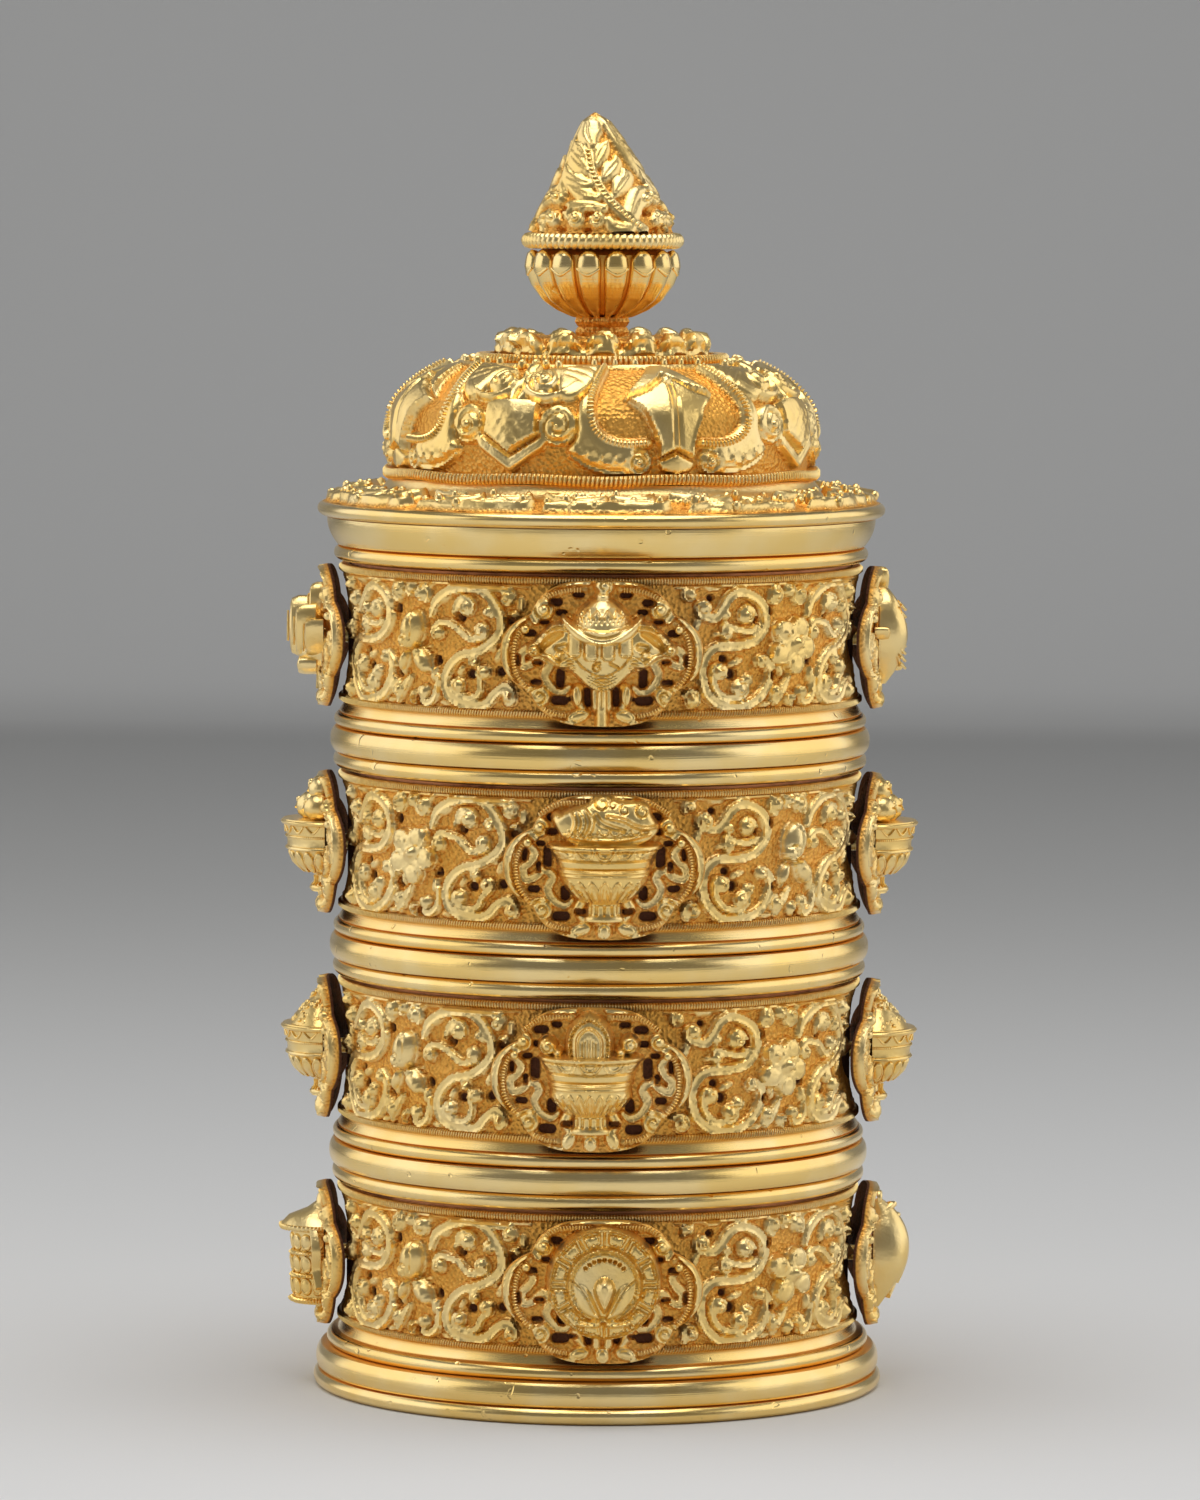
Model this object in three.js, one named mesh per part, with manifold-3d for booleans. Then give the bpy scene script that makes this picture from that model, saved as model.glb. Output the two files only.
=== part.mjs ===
// Rice offering pot of gilded copper: four round tiers stacked on seat collars under a domed lid.
// Each tier is a wall with a foot moulding, two milled wires, a scroll band and four riveted medallions.
// Millimetres, +Z up. The origin is the centre of the base, on the surface that the pot stands on.
// The front faces -Y.
import * as THREE from "three";
import { mergeVertices } from "three/addons/utils/BufferGeometryUtils.js";
import Module from "manifold-3d";

const wasm = await Module();
wasm.setup();

// Shared driving sizes
const RING_SIDES = 24; // flats round every turned ring, a multiple of 4 so that the quarters match
const MERGE_DISTANCE = 1e-4;
const CUT_MARGIN = 1; // how far a cutting solid reaches past what it cuts
const SOLDER_GAP = 0.3; // room between soldered neighbours
const TIER_HEIGHT = 32.5;
const TIER_TURNS = [1.1, -1.5, 1.0, 0.3]; // degrees that each tier is turned on its seat, from the base up

// Wall, seat collar and floor pan
const WALL_RADIUS = 39.2; // outside
const WALL_THICKNESS = 1.2;
const COLLAR_THICKNESS = 1.2;
const COLLAR_RISE = 4; // how far a collar stands up into the tier above
const COLLAR_GRIP = 7; // how far it reaches down inside its own wall
const SEAT_CLEARANCE = 0.5; // radial, between a collar and the walls
const FLOOR_THICKNESS = 1.2;
const FLOOR_LIFT = 2; // underside of the floor above the table

// Foot moulding: three ribs under a sloping ledge, lowest first, and how far each stands out from the bore
const RIB_HEIGHTS = [2.5, 3.9, 2.3];
const RIB_REACHES = [2.4, 2.9, 2.3];
const BASE_RIB_REACHES = [5.3, 4.9, 3.1]; // the lowest tier flares
const RIB_BULGE = 0.6; // how far the middle of a rib stands out from its edges
const LEDGE_HEIGHT = 1.7;
const LEDGE_REACH = 0.7;

// Milled wires and the scroll band between them
const WIRE_HEIGHT = 1.2;
const WIRE_REACH = 1.6; // how far a wire stands out from the band's inner face
const WIRE_DROP = 0.6; // top of the upper wire below the top of the wall
const BAND_THICKNESS = 0.9;
const RELIEF_HEIGHT = 1.1;
const VINE_WIDTH = 1.9;
const VINE_STEPS = 7;
const PANEL_MARGIN = 0.6; // bare band over and under the vine
const PANEL_HALF_WIDTH = 17; // from the flower to the vine's end, along the arc
const FLOWER_RADIUS = 5;
const FLOWER_HEIGHT = 2.4;
const FLOWER_PETALS = 5;
const FLOWER_WAIST = 0.62; // radius between two petals, as a share of a petal's reach
const WINDOW_WIDTH = 9; // opening in the band behind each medallion
const WINDOW_HEIGHT = 12;

// Medallions
const MEDALLION_GAP = 1; // between the band's relief and a medallion's back
const MEDALLION_THICKNESS = 2;
const MEDALLION_WIDTH = 31;
const MEDALLION_SIDE_HEIGHT = 15.2; // height of the side lobes
const MEDALLION_TALL_WIDTH = 23.2; // width of the lobes at top and bottom
const MEDALLION_FOOT_MARGIN = 0.6; // above the ribs
const MEDALLION_HEAD_MARGIN = 0.8; // below the tier's top
const FRAME_WIDTH = 2.3;
const SPINE_WIDTH = 7;
const SPINE_THICKNESS = 1.2;
const SYMBOL_DEPTH = 6.9; // from the middle of the spine to the symbol's foremost point
const STUD_RADIUS = 1.2;
const STUD_CLEARANCE = 0.3; // radial, in the wall's hole
const STUD_HEAD_RADIUS = 2.2;
const STUD_HEAD_THICKNESS = 0.7;

// Lid: edge moulding, shoulder and dome
const LIP_HEIGHTS = [2.3, 4.6, 2.3];
const LIP_REACHES = [2.4, 4, 5]; // from the foot mouldings' bore, lowest first
const CAVETTO_FOOT_REACH = 2.6; // the middle rib flares from here to its full reach
const SHOULDER_THICKNESS = 1.2;
const SHOULDER_INSET = 0.8; // shoulder's edge inside the lip
const SHOULDER_WIDTH = 10.2;
const DOME_SEAT = 2.8; // how far the dome's foot overlaps the shoulder
const DOME_COVE_WIDTH = 3.6;
const DOME_COVE_HEIGHT = 3.4;
const DOME_SIDE_HEIGHT = 9.1;
const DOME_SIDE_BULGE = 0.4;
const DOME_CROWN_HEIGHT = 8.1;
const DOME_CROWN_POWER = 1.5; // 1 is a straight slope and 2 an ellipse
const DOME_CROWN_STEPS = 4;
const DOME_TOP_RADIUS = 20.6; // flat top
const DOME_THICKNESS = 1.2;
const DOME_WIRE_WIDTH = 1.5;
const UPPER_WIRE_RADIUS = 19.2; // middle of the wire on the dome's top
const KITE_TURN = 20; // degrees from each quarter to the middle of its kite-shaped leaf
const KITE_RISE = 1.7; // how far each form stands out of the dome
const BOX_RISE = 1.8;
const TAIL_RISE = 1.5;
const WING_RISE = 1.1;
const VOLUTE_RISE = 1.4;
const VOLUTE_SIDES = 6;
const LEAF_ROOT = 0.7; // how deep foliage is rooted in the dome's sheet
const SHOULDER_LEAVES = 12;
const SHOULDER_LEAF_RISE = 1;
const SHOULDER_LEAF_ROOT = 0.4;

// Lotus crown and finial
const LOTUS_FOOT_RADIUS = 14.6;
const LOTUS_RADIUS = 16.8;
const LOTUS_HEIGHT = 5.8;
const LOTUS_RIM_WIDTH = 2.4;
const LOTUS_DISH_DEPTH = 1.8;
const LOTUS_DISH_RADIUS = 7;
const LOTUS_PETALS = 10;
const LOTUS_NOTCH = 1.6;
const NECK_RADIUS = 4.1;
const NECK_HEIGHT = 3.1;
const NECK_WAIST = 0.4; // how far the neck draws in at its middle
const CUP_FOOT_RADIUS = 4;
const CUP_RADIUS = 12.4;
const CUP_HEIGHT = 10.6;
const CUP_LIP_HEIGHT = 1.4;
const CUP_STEPS = 4;
const CUP_GADROONS = 16;
const CUP_GROOVE = 1;
const ROPE_RADIUS = 12.8;
const ROPE_HEIGHT = 2.5;
const ROPE_BULGE = 0.8;
const BUD_RADIUS = 11.7;
const BUD_HEIGHT = 18.8;
const BUD_STEPS = 5;
const BUD_FULLNESS = 0.86; // 1 is a straight cone, and less is fuller
const ROD_RADIUS = 1.6;
const ROD_SIDES = 12;
const ROD_CLEARANCE = 0.35;
const ROD_GRIP = 5; // how far the rod reaches up into the cup
const ROD_TAIL = 1.2; // rod below the nut
const WASHER_RADIUS = 5;
const WASHER_THICKNESS = 0.8;
const NUT_RADIUS = 3.4;
const NUT_HEIGHT = 2.6;

// Radii that follow
const WALL_BORE = WALL_RADIUS - WALL_THICKNESS;
const SKIN_BORE = WALL_RADIUS + SOLDER_GAP; // inside of all that is soldered round a wall
const BAND_FACE = SKIN_BORE + BAND_THICKNESS;
const COLLAR_RADIUS = WALL_BORE - SEAT_CLEARANCE;
const MEDALLION_BACK = BAND_FACE + RELIEF_HEIGHT + MEDALLION_GAP;
const MEDALLION_FACE = MEDALLION_BACK + MEDALLION_THICKNESS;
const SYMBOL_AXIS = MEDALLION_BACK + SPINE_THICKNESS / 2; // where the symbols' own axes stand
const SHOULDER_RADIUS = SKIN_BORE + LIP_REACHES.at(-1) - RIB_BULGE - SHOULDER_INSET;
const SHOULDER_BORE = SHOULDER_RADIUS - SHOULDER_WIDTH;
const DOME_FOOT_RADIUS = SHOULDER_BORE + DOME_SEAT;
const DOME_SIDE_RADIUS = DOME_FOOT_RADIUS - DOME_COVE_WIDTH;
const ROD_BORE = ROD_RADIUS + ROD_CLEARANCE;

// Heights that follow, within a tier and then within the lid
const total = (sizes) => sizes.reduce((sum, size) => sum + size, 0);
const RIBS_TOP = total(RIB_HEIGHTS);
const LOWER_WIRE_FOOT = RIBS_TOP + LEDGE_HEIGHT;
const BAND_FOOT = LOWER_WIRE_FOOT + WIRE_HEIGHT;
const UPPER_WIRE_FOOT = TIER_HEIGHT - WIRE_DROP - WIRE_HEIGHT;
const BAND_CENTRE = (BAND_FOOT + UPPER_WIRE_FOOT) / 2;
const MEDALLION_FOOT = RIBS_TOP + MEDALLION_FOOT_MARGIN;
const MEDALLION_HEIGHT = TIER_HEIGHT - MEDALLION_HEAD_MARGIN - MEDALLION_FOOT;
const MEDALLION_CENTRE = MEDALLION_FOOT + MEDALLION_HEIGHT / 2;
const LID_SEAT = TIER_TURNS.length * TIER_HEIGHT;
const LIP_TOP = total(LIP_HEIGHTS);
const SHOULDER_TOP = LIP_TOP + SHOULDER_THICKNESS;
const DOME_COVE_TOP = SHOULDER_TOP + DOME_COVE_HEIGHT;
const DOME_SIDE_TOP = DOME_COVE_TOP + DOME_SIDE_HEIGHT;
const DOME_TOP = DOME_SIDE_TOP + DOME_CROWN_HEIGHT;
const LOTUS_TOP = DOME_TOP + LOTUS_HEIGHT;
const NECK_FOOT = LOTUS_TOP - LOTUS_DISH_DEPTH;
const CUP_FOOT = NECK_FOOT + NECK_HEIGHT;
const ROPE_FOOT = CUP_FOOT + CUP_HEIGHT;
const BUD_FOOT = ROPE_FOOT + ROPE_HEIGHT;
const WASHER_TOP = DOME_TOP - DOME_THICKNESS;
const NUT_TOP = WASHER_TOP - WASHER_THICKNESS;
const NUT_FOOT = NUT_TOP - NUT_HEIGHT;

// Materials
const gilding = () => new THREE.MeshStandardMaterial({ color: 0xe6b450, roughness: 0.3, metalness: 1 });
const bareCopper = () => new THREE.MeshStandardMaterial({ color: 0xb87333, roughness: 0.5, metalness: 1 });

// Solids of revolution about +Z, from an outline of [radius, height] points in anticlockwise order.
function turned(outline, sides = RING_SIDES) {
  const points = outline.map(([radius, height]) => new THREE.Vector2(radius, height));
  return new THREE.LatheGeometry(points, sides).rotateX(Math.PI / 2);
}

function turnedRing(outline, sides = RING_SIDES) {
  return turned([...outline, outline[0]], sides);
}

function plainRing(inner, outer, foot, top, sides = RING_SIDES) {
  return turnedRing([[inner, foot], [outer, foot], [outer, top], [inner, top]], sides);
}

// Draws a turned shape in between its lobes, wherever depthOf says how far at a radius.
function lobed(geometry, lobes, depthOf) {
  const place = geometry.attributes.position;
  for (let i = 0; i < place.count; i += 1) {
    const [x, y] = [place.getX(i), place.getY(i)];
    const radius = Math.hypot(x, y);
    const valley = 0.5 - 0.5 * Math.cos(lobes * Math.atan2(y, x));
    const share = radius > 0 ? 1 - (valley * depthOf(radius)) / radius : 1;
    place.setXY(i, x * share, y * share);
  }
  return geometry;
}

function solidOf(geometry) {
  const bare = geometry.clone();
  bare.deleteAttribute("normal");
  bare.deleteAttribute("uv");
  const merged = mergeVertices(bare, MERGE_DISTANCE);
  const vertProperties = merged.attributes.position.array;
  const triVerts = new Uint32Array(merged.index.array);
  return new wasm.Manifold(new wasm.Mesh({ numProp: 3, vertProperties, triVerts }));
}

function geometryOf(solid) {
  const { vertProperties, triVerts } = solid.getMesh();
  const shared = new THREE.BufferGeometry();
  shared.setAttribute("position", new THREE.BufferAttribute(vertProperties, 3));
  shared.setIndex(new THREE.BufferAttribute(triVerts, 1));
  const faceted = shared.toNonIndexed();
  faceted.computeVertexNormals();
  return faceted;
}

function union(solids) {
  return solids.reduce((sum, solid) => sum.add(solid));
}

function shapeOf(points) {
  return new THREE.Shape(points.map(([x, y]) => new THREE.Vector2(x, y)));
}

function rectangle(width, height) {
  const [w, h] = [width / 2, height / 2];
  return [[-w, -h], [w, -h], [w, h], [-w, h]];
}

// Points round an oval whose corners are squarer the higher the power.
function oval(width, height, power, count) {
  const bend = (share) => Math.sign(share) * Math.abs(share) ** (2 / power);
  return Array.from({ length: count }, (_, i) => {
    const angle = (2 * Math.PI * (i + 0.5)) / count;
    return [(bend(Math.cos(angle)) * width) / 2, (bend(Math.sin(angle)) * height) / 2];
  });
}

// A flat shape, x across and y up, pushed out from one radius to another on the front of the pot.
function frontPrism(points, inner, outer) {
  const flat = new THREE.ExtrudeGeometry(shapeOf(points), { depth: outer - inner, bevelEnabled: false });
  return solidOf(flat.translate(0, 0, inner).rotateX(Math.PI / 2));
}

// The same, bent round the pot, so that x runs along the arc of the inner radius.
function wrappedPrism(points, inner, outer) {
  const flat = new THREE.ExtrudeGeometry(shapeOf(points), { depth: outer - inner, bevelEnabled: false });
  const place = flat.attributes.position;
  for (let i = 0; i < place.count; i += 1) {
    const angle = place.getX(i) / inner;
    const radius = inner + place.getZ(i);
    place.setXYZ(i, radius * Math.sin(angle), -radius * Math.cos(angle), place.getY(i));
  }
  return solidOf(flat);
}

// A round rod along the radius at the front of the pot.
function frontRod(radius, inner, outer, sides = 6) {
  const rod = new THREE.CylinderGeometry(radius, radius, outer - inner, sides);
  return solidOf(rod.translate(0, -(inner + outer) / 2, 0));
}

function turnQuarters(solid, count, start = 0) {
  return Array.from({ length: count }, (_, i) => solid.rotate([0, 0, start + (360 / count) * i]));
}

// A flat shape, x along the arc of a reach and y up a turned outline, wrapped on it and pushed out by a rise.
function wrappedLeaf(shape, rise, root, outline, reach) {
  const points = outline.map(([radius, height]) => new THREE.Vector2(radius, height));
  const last = points.length - 1;
  const normals = points.map((_, i) => {
    const slope = points[Math.min(i + 1, last)].clone().sub(points[Math.max(i - 1, 0)]);
    return new THREE.Vector2(slope.y, -slope.x).normalize();
  });
  const flat = new THREE.ExtrudeGeometry(shapeOf(shape), { depth: rise + root, bevelEnabled: false });
  const place = flat.attributes.position;
  for (let i = 0; i < place.count; i += 1) {
    let [step, along] = [0, place.getY(i)];
    while (step < last - 1 && along > points[step].distanceTo(points[step + 1])) {
      along -= points[step].distanceTo(points[step + 1]);
      step += 1;
    }
    const share = along / points[step].distanceTo(points[step + 1]);
    const normal = normals[step].clone().lerp(normals[step + 1], share);
    const point = points[step].clone().lerp(points[step + 1], share);
    point.addScaledVector(normal, place.getZ(i) - root);
    const angle = place.getX(i) / reach;
    place.setXYZ(i, point.x * Math.sin(angle), -point.x * Math.cos(angle), point.y);
  }
  return solidOf(flat);
}

// Outline of ribs over one another, lowest first, each rounded out in its middle.
function ribOutline(heights, reaches, footReaches = reaches) {
  let foot = 0;
  return heights.flatMap((height, i) => {
    const [low, high] = [SKIN_BORE + footReaches[i], SKIN_BORE + reaches[i]];
    const middle = [(low + high) / 2, foot + height / 2];
    const edges = [[low - RIB_BULGE, foot], [high - RIB_BULGE, foot + height]];
    foot += height;
    return [edges[0], middle, edges[1]];
  });
}

function wall() {
  const hole = frontRod(STUD_RADIUS + STUD_CLEARANCE, COLLAR_RADIUS, SKIN_BORE);
  const holes = turnQuarters(hole.translate([0, 0, MEDALLION_CENTRE]), 4);
  return geometryOf(solidOf(plainRing(WALL_BORE, WALL_RADIUS, 0, TIER_HEIGHT)).subtract(union(holes)));
}

function footMoulding(reaches) {
  const ledge = SKIN_BORE + LEDGE_REACH;
  const ribs = ribOutline(RIB_HEIGHTS, reaches);
  return turnedRing([[SKIN_BORE, 0], ...ribs, [ledge, LOWER_WIRE_FOOT], [SKIN_BORE, LOWER_WIRE_FOOT]]);
}

function milledWire(foot) {
  const [reach, flat] = [SKIN_BORE + WIRE_REACH, WIRE_HEIGHT / 4];
  const top = foot + WIRE_HEIGHT;
  return turnedRing([[SKIN_BORE, foot], [reach, foot + flat], [reach, top - flat], [SKIN_BORE, top]]);
}

// The vine left of each flower, an S in shares of the panel: x from the flower, y from the band's centre.
const VINE_LINE = [
  [-0.98, 0.5], [-0.8, 0.66], [-0.57, 0.9], [-0.35, 0.6], [-0.44, 0.15], [-0.74, 0.02],
  [-0.97, -0.4], [-0.86, -0.84], [-0.6, -0.92], [-0.36, -0.66], [-0.32, -0.3],
];

// Outline of a ribbon along a smooth line of points, each with its own width or else of the width given.
function ribbon(line, steps, width) {
  const curve = new THREE.CatmullRomCurve3(line.map(([x, y, own = width]) => new THREE.Vector3(x, y, own)));
  const [right, left] = [[], []];
  for (let i = 0; i <= steps; i += 1) {
    const point = curve.getPointAt(i / steps);
    const across = curve.getTangentAt(i / steps).setZ(0).normalize().multiplyScalar(point.z / 2);
    right.push([point.x + across.y, point.y - across.x]);
    left.unshift([point.x - across.y, point.y + across.x]);
  }
  return [...right, ...left];
}

function flowerOutline() {
  return Array.from({ length: FLOWER_PETALS * 2 }, (_, i) => {
    const angle = Math.PI / 2 + (i * Math.PI) / FLOWER_PETALS;
    const radius = i % 2 ? FLOWER_RADIUS * FLOWER_WAIST : FLOWER_RADIUS;
    return [radius * Math.cos(angle), radius * Math.sin(angle)];
  });
}

function scrollBand() {
  const sunk = SKIN_BORE + BAND_THICKNESS / 2; // ornaments are rooted in the sheet
  const halfHeight = (UPPER_WIRE_FOOT - BAND_FOOT - VINE_WIDTH) / 2 - PANEL_MARGIN;
  const line = VINE_LINE.map(([x, y]) => [x * PANEL_HALF_WIDTH, y * halfHeight]);
  const left = wrappedPrism(ribbon(line, VINE_STEPS, VINE_WIDTH), sunk, BAND_FACE + RELIEF_HEIGHT);
  const right = left.mirror([1, 0, 0]).mirror([0, 0, 1]);
  const flower = wrappedPrism(flowerOutline(), sunk, BAND_FACE + FLOWER_HEIGHT);
  const panel = union([left, right, flower]).translate([0, 0, BAND_CENTRE]);
  const window = frontPrism(rectangle(WINDOW_WIDTH, WINDOW_HEIGHT), WALL_BORE, MEDALLION_BACK);
  const windows = turnQuarters(window.translate([0, 0, MEDALLION_CENTRE]), 4);
  const sheet = solidOf(plainRing(SKIN_BORE, BAND_FACE, BAND_FOOT, UPPER_WIRE_FOOT));
  return geometryOf(union([sheet.subtract(union(windows)), ...turnQuarters(panel, 4, 45)]));
}

// Symbols on the medallions, at the front of the pot with their own axis upright through the spine.
// Their sizes are shares of half a medallion's height, and the largest stands out by the full symbol depth.
const SYMBOL_UNIT = MEDALLION_HEIGHT / 2;
const SYMBOL_SIDES = 8;

function upright(outline) {
  const widest = Math.max(...outline.map(([radius]) => radius));
  return solidOf(turned(outline, SYMBOL_SIDES).scale(SYMBOL_UNIT, SYMBOL_DEPTH / widest, SYMBOL_UNIT));
}

function ball(width, height, x, z, depth = 1) {
  const round = new THREE.SphereGeometry(1, SYMBOL_SIDES, 4).rotateX(Math.PI / 2);
  const half = SYMBOL_UNIT / 2;
  round.scale(width * half, depth * SYMBOL_DEPTH, height * half);
  return solidOf(round.translate(x * SYMBOL_UNIT, 0, z * SYMBOL_UNIT));
}

function boss(radius, depth, sides) {
  return frontRod(radius * SYMBOL_UNIT, 0, depth * SYMBOL_DEPTH, sides);
}

const BOWL_SIDE = [[0, -0.57], [0.29, -0.55], [0.21, -0.41], [0.52, -0.23], [0.66, 0.23]];
const bowl = () => upright([...BOWL_SIDE, [0, 0.23]]);
const SYMBOLS = {
  parasol: () => [
    upright([[0, -0.45], [0.32, -0.41], [0.86, -0.05], [0.82, 0.18], [0.5, 0.23], [0.14, 0.66], [0, 0.9]]),
  ],
  fish: () => [ball(0.62, 1.43, -0.3, 0), ball(0.62, 1.43, 0.3, 0)],
  vase: () => [
    upright([[0, -0.62], [0.3, -0.57], [0.57, -0.09], [0.36, 0.27], [0.18, 0.36], [0.32, 0.54], [0, 0.85]]),
  ],
  lotus: () => [ball(1.07, 1.07, 0, 0), ball(0.62, 0.8, -0.5, -0.09, 0.6), ball(0.62, 0.8, 0.5, -0.09, 0.6)],
  conchBowl: () => [bowl(), ball(1.25, 0.6, 0, 0.5, 0.8)],
  fruitBowl: () => [bowl(), ball(0.7, 0.62, -0.27, 0.48, 0.8), ball(0.7, 0.62, 0.27, 0.48, 0.8)],
  jewelBowl: () => [bowl(), ball(0.6, 0.8, 0, 0.54, 0.8)],
  riceBowl: () => [upright([...BOWL_SIDE, [0.39, 0.54], [0, 0.68]])],
  wheel: () => [boss(0.77, 0.6, 12), boss(0.41, 1, 8)],
  conch: () => [upright([[0, -0.76], [0.27, -0.36], [0.54, 0.09], [0.43, 0.45], [0.2, 0.57], [0, 0.72]])],
  knot: () => [boss(0.77, 0.96, 4)],
  banner: () => [upright([[0, -0.71], [0.41, -0.66], [0.41, 0.3], [0.57, 0.36], [0.45, 0.54], [0, 0.86]])],
};
const TIER_SYMBOLS = [
  ["wheel", "conch", "knot", "banner"],
  ["jewelBowl", "riceBowl", "fruitBowl", "jewelBowl"],
  ["conchBowl", "fruitBowl", "riceBowl", "conchBowl"],
  ["parasol", "fish", "vase", "lotus"],
];
const SIDES = ["front", "right", "back", "left"];

// A four-lobed outline: a tall block across a wide oval, both drawn in by inset.
function quatrefoil(inset, inner, outer) {
  const tall = oval(MEDALLION_TALL_WIDTH - 2 * inset, MEDALLION_HEIGHT - 2 * inset, 3, 12);
  const wide = oval(MEDALLION_WIDTH - 2 * inset, MEDALLION_SIDE_HEIGHT - 2 * inset, 2.4, 8);
  return frontPrism(tall, inner, outer).add(frontPrism(wide, inner, outer));
}

function medallion(symbol) {
  const [low, high] = [-MEDALLION_HEIGHT, MEDALLION_HEIGHT];
  const shell = solidOf(plainRing(MEDALLION_BACK, MEDALLION_FACE, low, high));
  const core = solidOf(turned([[0, low], [MEDALLION_BACK, low], [MEDALLION_BACK, high], [0, high]]));
  const frame = shell.intersect(quatrefoil(0, WALL_BORE, MEDALLION_FACE + CUT_MARGIN));
  const opening = quatrefoil(FRAME_WIDTH, WALL_BORE - CUT_MARGIN, MEDALLION_FACE + 2 * CUT_MARGIN);
  const spineHeight = MEDALLION_HEIGHT - FRAME_WIDTH;
  const spineFace = MEDALLION_BACK + SPINE_THICKNESS;
  const spine = frontPrism(rectangle(SPINE_WIDTH, spineHeight), MEDALLION_BACK, spineFace);
  const figure = union(SYMBOLS[symbol]()).translate([0, -SYMBOL_AXIS, 0]).subtract(core);
  const stud = frontRod(STUD_RADIUS, COLLAR_RADIUS - STUD_HEAD_THICKNESS / 2, SYMBOL_AXIS);
  const head = frontRod(STUD_HEAD_RADIUS, COLLAR_RADIUS - STUD_HEAD_THICKNESS, COLLAR_RADIUS);
  return geometryOf(union([frame.subtract(opening), spine, figure, stud, head]));
}

// A pan that closes the lowest tier, inside its wall.
function floorPan() {
  const [foot, top] = [FLOOR_LIFT, FLOOR_LIFT + FLOOR_THICKNESS];
  return turned([[0, foot], [COLLAR_RADIUS, foot], [COLLAR_RADIUS, top], [0, top]]);
}

function named(name, geometry, material) {
  const mesh = new THREE.Mesh(geometry, material);
  mesh.name = name;
  return mesh;
}

function tier(index) {
  const group = new THREE.Group();
  const title = `tier_${index + 1}`;
  const reaches = index === 0 ? BASE_RIB_REACHES : RIB_REACHES;
  const [collarFoot, collarTop] = [TIER_HEIGHT - COLLAR_GRIP, TIER_HEIGHT + COLLAR_RISE];
  const collar = plainRing(COLLAR_RADIUS - COLLAR_THICKNESS, COLLAR_RADIUS, collarFoot, collarTop);
  group.add(
    named(`${title}_wall`, wall(), bareCopper()),
    named(`${title}_foot_moulding`, footMoulding(reaches), gilding()),
    named(`${title}_lower_milled_wire`, milledWire(LOWER_WIRE_FOOT), gilding()),
    named(`${title}_scroll_band`, scrollBand(), gilding()),
    named(`${title}_upper_milled_wire`, milledWire(UPPER_WIRE_FOOT), gilding()),
    named(`${title}_seat_collar`, collar, bareCopper()),
  );
  SIDES.forEach((side, quarter) => {
    const plate = named(`${title}_medallion_${side}`, medallion(TIER_SYMBOLS[index][quarter]), gilding());
    plate.position.z = MEDALLION_CENTRE;
    plate.rotation.z = (quarter * Math.PI) / 2;
    group.add(plate);
  });
  if (index === 0) group.add(named(`${title}_floor_pan`, floorPan(), bareCopper()));
  group.position.z = index * TIER_HEIGHT;
  group.rotation.z = THREE.MathUtils.degToRad(TIER_TURNS[index]);
  return group;
}

// A lip that rests on the highest wall and fits over its collar.
function edgeMoulding() {
  const footReaches = [LIP_REACHES[0], CAVETTO_FOOT_REACH, LIP_REACHES[2]];
  const ribs = ribOutline(LIP_HEIGHTS, LIP_REACHES, footReaches);
  return turnedRing([[WALL_BORE, 0], ...ribs, [WALL_BORE, LIP_TOP]]);
}

// A curling leaf on the shoulder: x along the arc and y in from the rim.
const SHOULDER_LEAF = [[-7.6, 1.6], [5.2, 0.9], [7.4, 2.8], [3.2, 3.8], [4.4, 5.9], [-4, 4.6]];

function shoulder() {
  const rim = SHOULDER_THICKNESS / 2;
  const slope = [[SHOULDER_RADIUS - rim, LIP_TOP + rim], [DOME_FOOT_RADIUS, SHOULDER_TOP]];
  const foot = [[SHOULDER_BORE, LIP_TOP], [SHOULDER_RADIUS, LIP_TOP]];
  const ring = solidOf(turnedRing([...foot, ...slope, [SHOULDER_BORE, SHOULDER_TOP]]));
  const leaf = wrappedLeaf(SHOULDER_LEAF, SHOULDER_LEAF_RISE, SHOULDER_LEAF_ROOT, slope, SHOULDER_RADIUS);
  return geometryOf(union([ring, ...turnQuarters(leaf, SHOULDER_LEAVES)]));
}

// The dome's crown curves from its side in to its flat top; inset moves it inwards by the sheet's thickness.
function crownOutline(inset) {
  const [width, height] = [DOME_SIDE_RADIUS - DOME_TOP_RADIUS, DOME_CROWN_HEIGHT];
  return Array.from({ length: DOME_CROWN_STEPS + 1 }, (_, i) => {
    const angle = (i * Math.PI) / 2 / DOME_CROWN_STEPS;
    const bend = (share) => Math.abs(share) ** (2 / DOME_CROWN_POWER);
    const [out, up] = [bend(Math.cos(angle)), bend(Math.sin(angle))];
    return [DOME_TOP_RADIUS + out * width - inset, DOME_SIDE_TOP + up * height - inset];
  });
}

// Foliage on the dome, drawn from the middle of a kite-shaped leaf: x along the arc and y up the outline.
// The kite and the box leaf between two kites are right halves. Tails and wings have a width at each point.
const KITE = [[0, 1.2], [2.9, 2.6], [2.6, 5.6], [6.9, 12.2], [3.6, 16.2], [0, 21.2], [0, 16], [0, 11]];
const BOX_LEAF = [[0, 1.2], [4.8, 4.6], [4.2, 9.8], [0, 11.4]];
const TAIL = [
  [14.6, 13, 0.8], [15.2, 9.6, 2.4], [14.6, 6.6, 4], [12.4, 4.2, 4.2], [9.4, 3, 3], [7.2, 2.7, 2.2],
];
const WING = [[24.6, 14.8, 3], [22.2, 14.8, 4.8], [19, 13.9, 3.2], [16.9, 15.6, 3.4], [16.2, 20.6, 2.4]];
const VOLUTE = [19.1, 7, 2.2]; // with its radius
const TAIL_STEPS = 4;
const WING_STEPS = 3;

function disc(x, y, radius) {
  return oval(2 * radius, 2 * radius, 2, VOLUTE_SIDES).map(([across, up]) => [x + across, y + up]);
}

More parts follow.
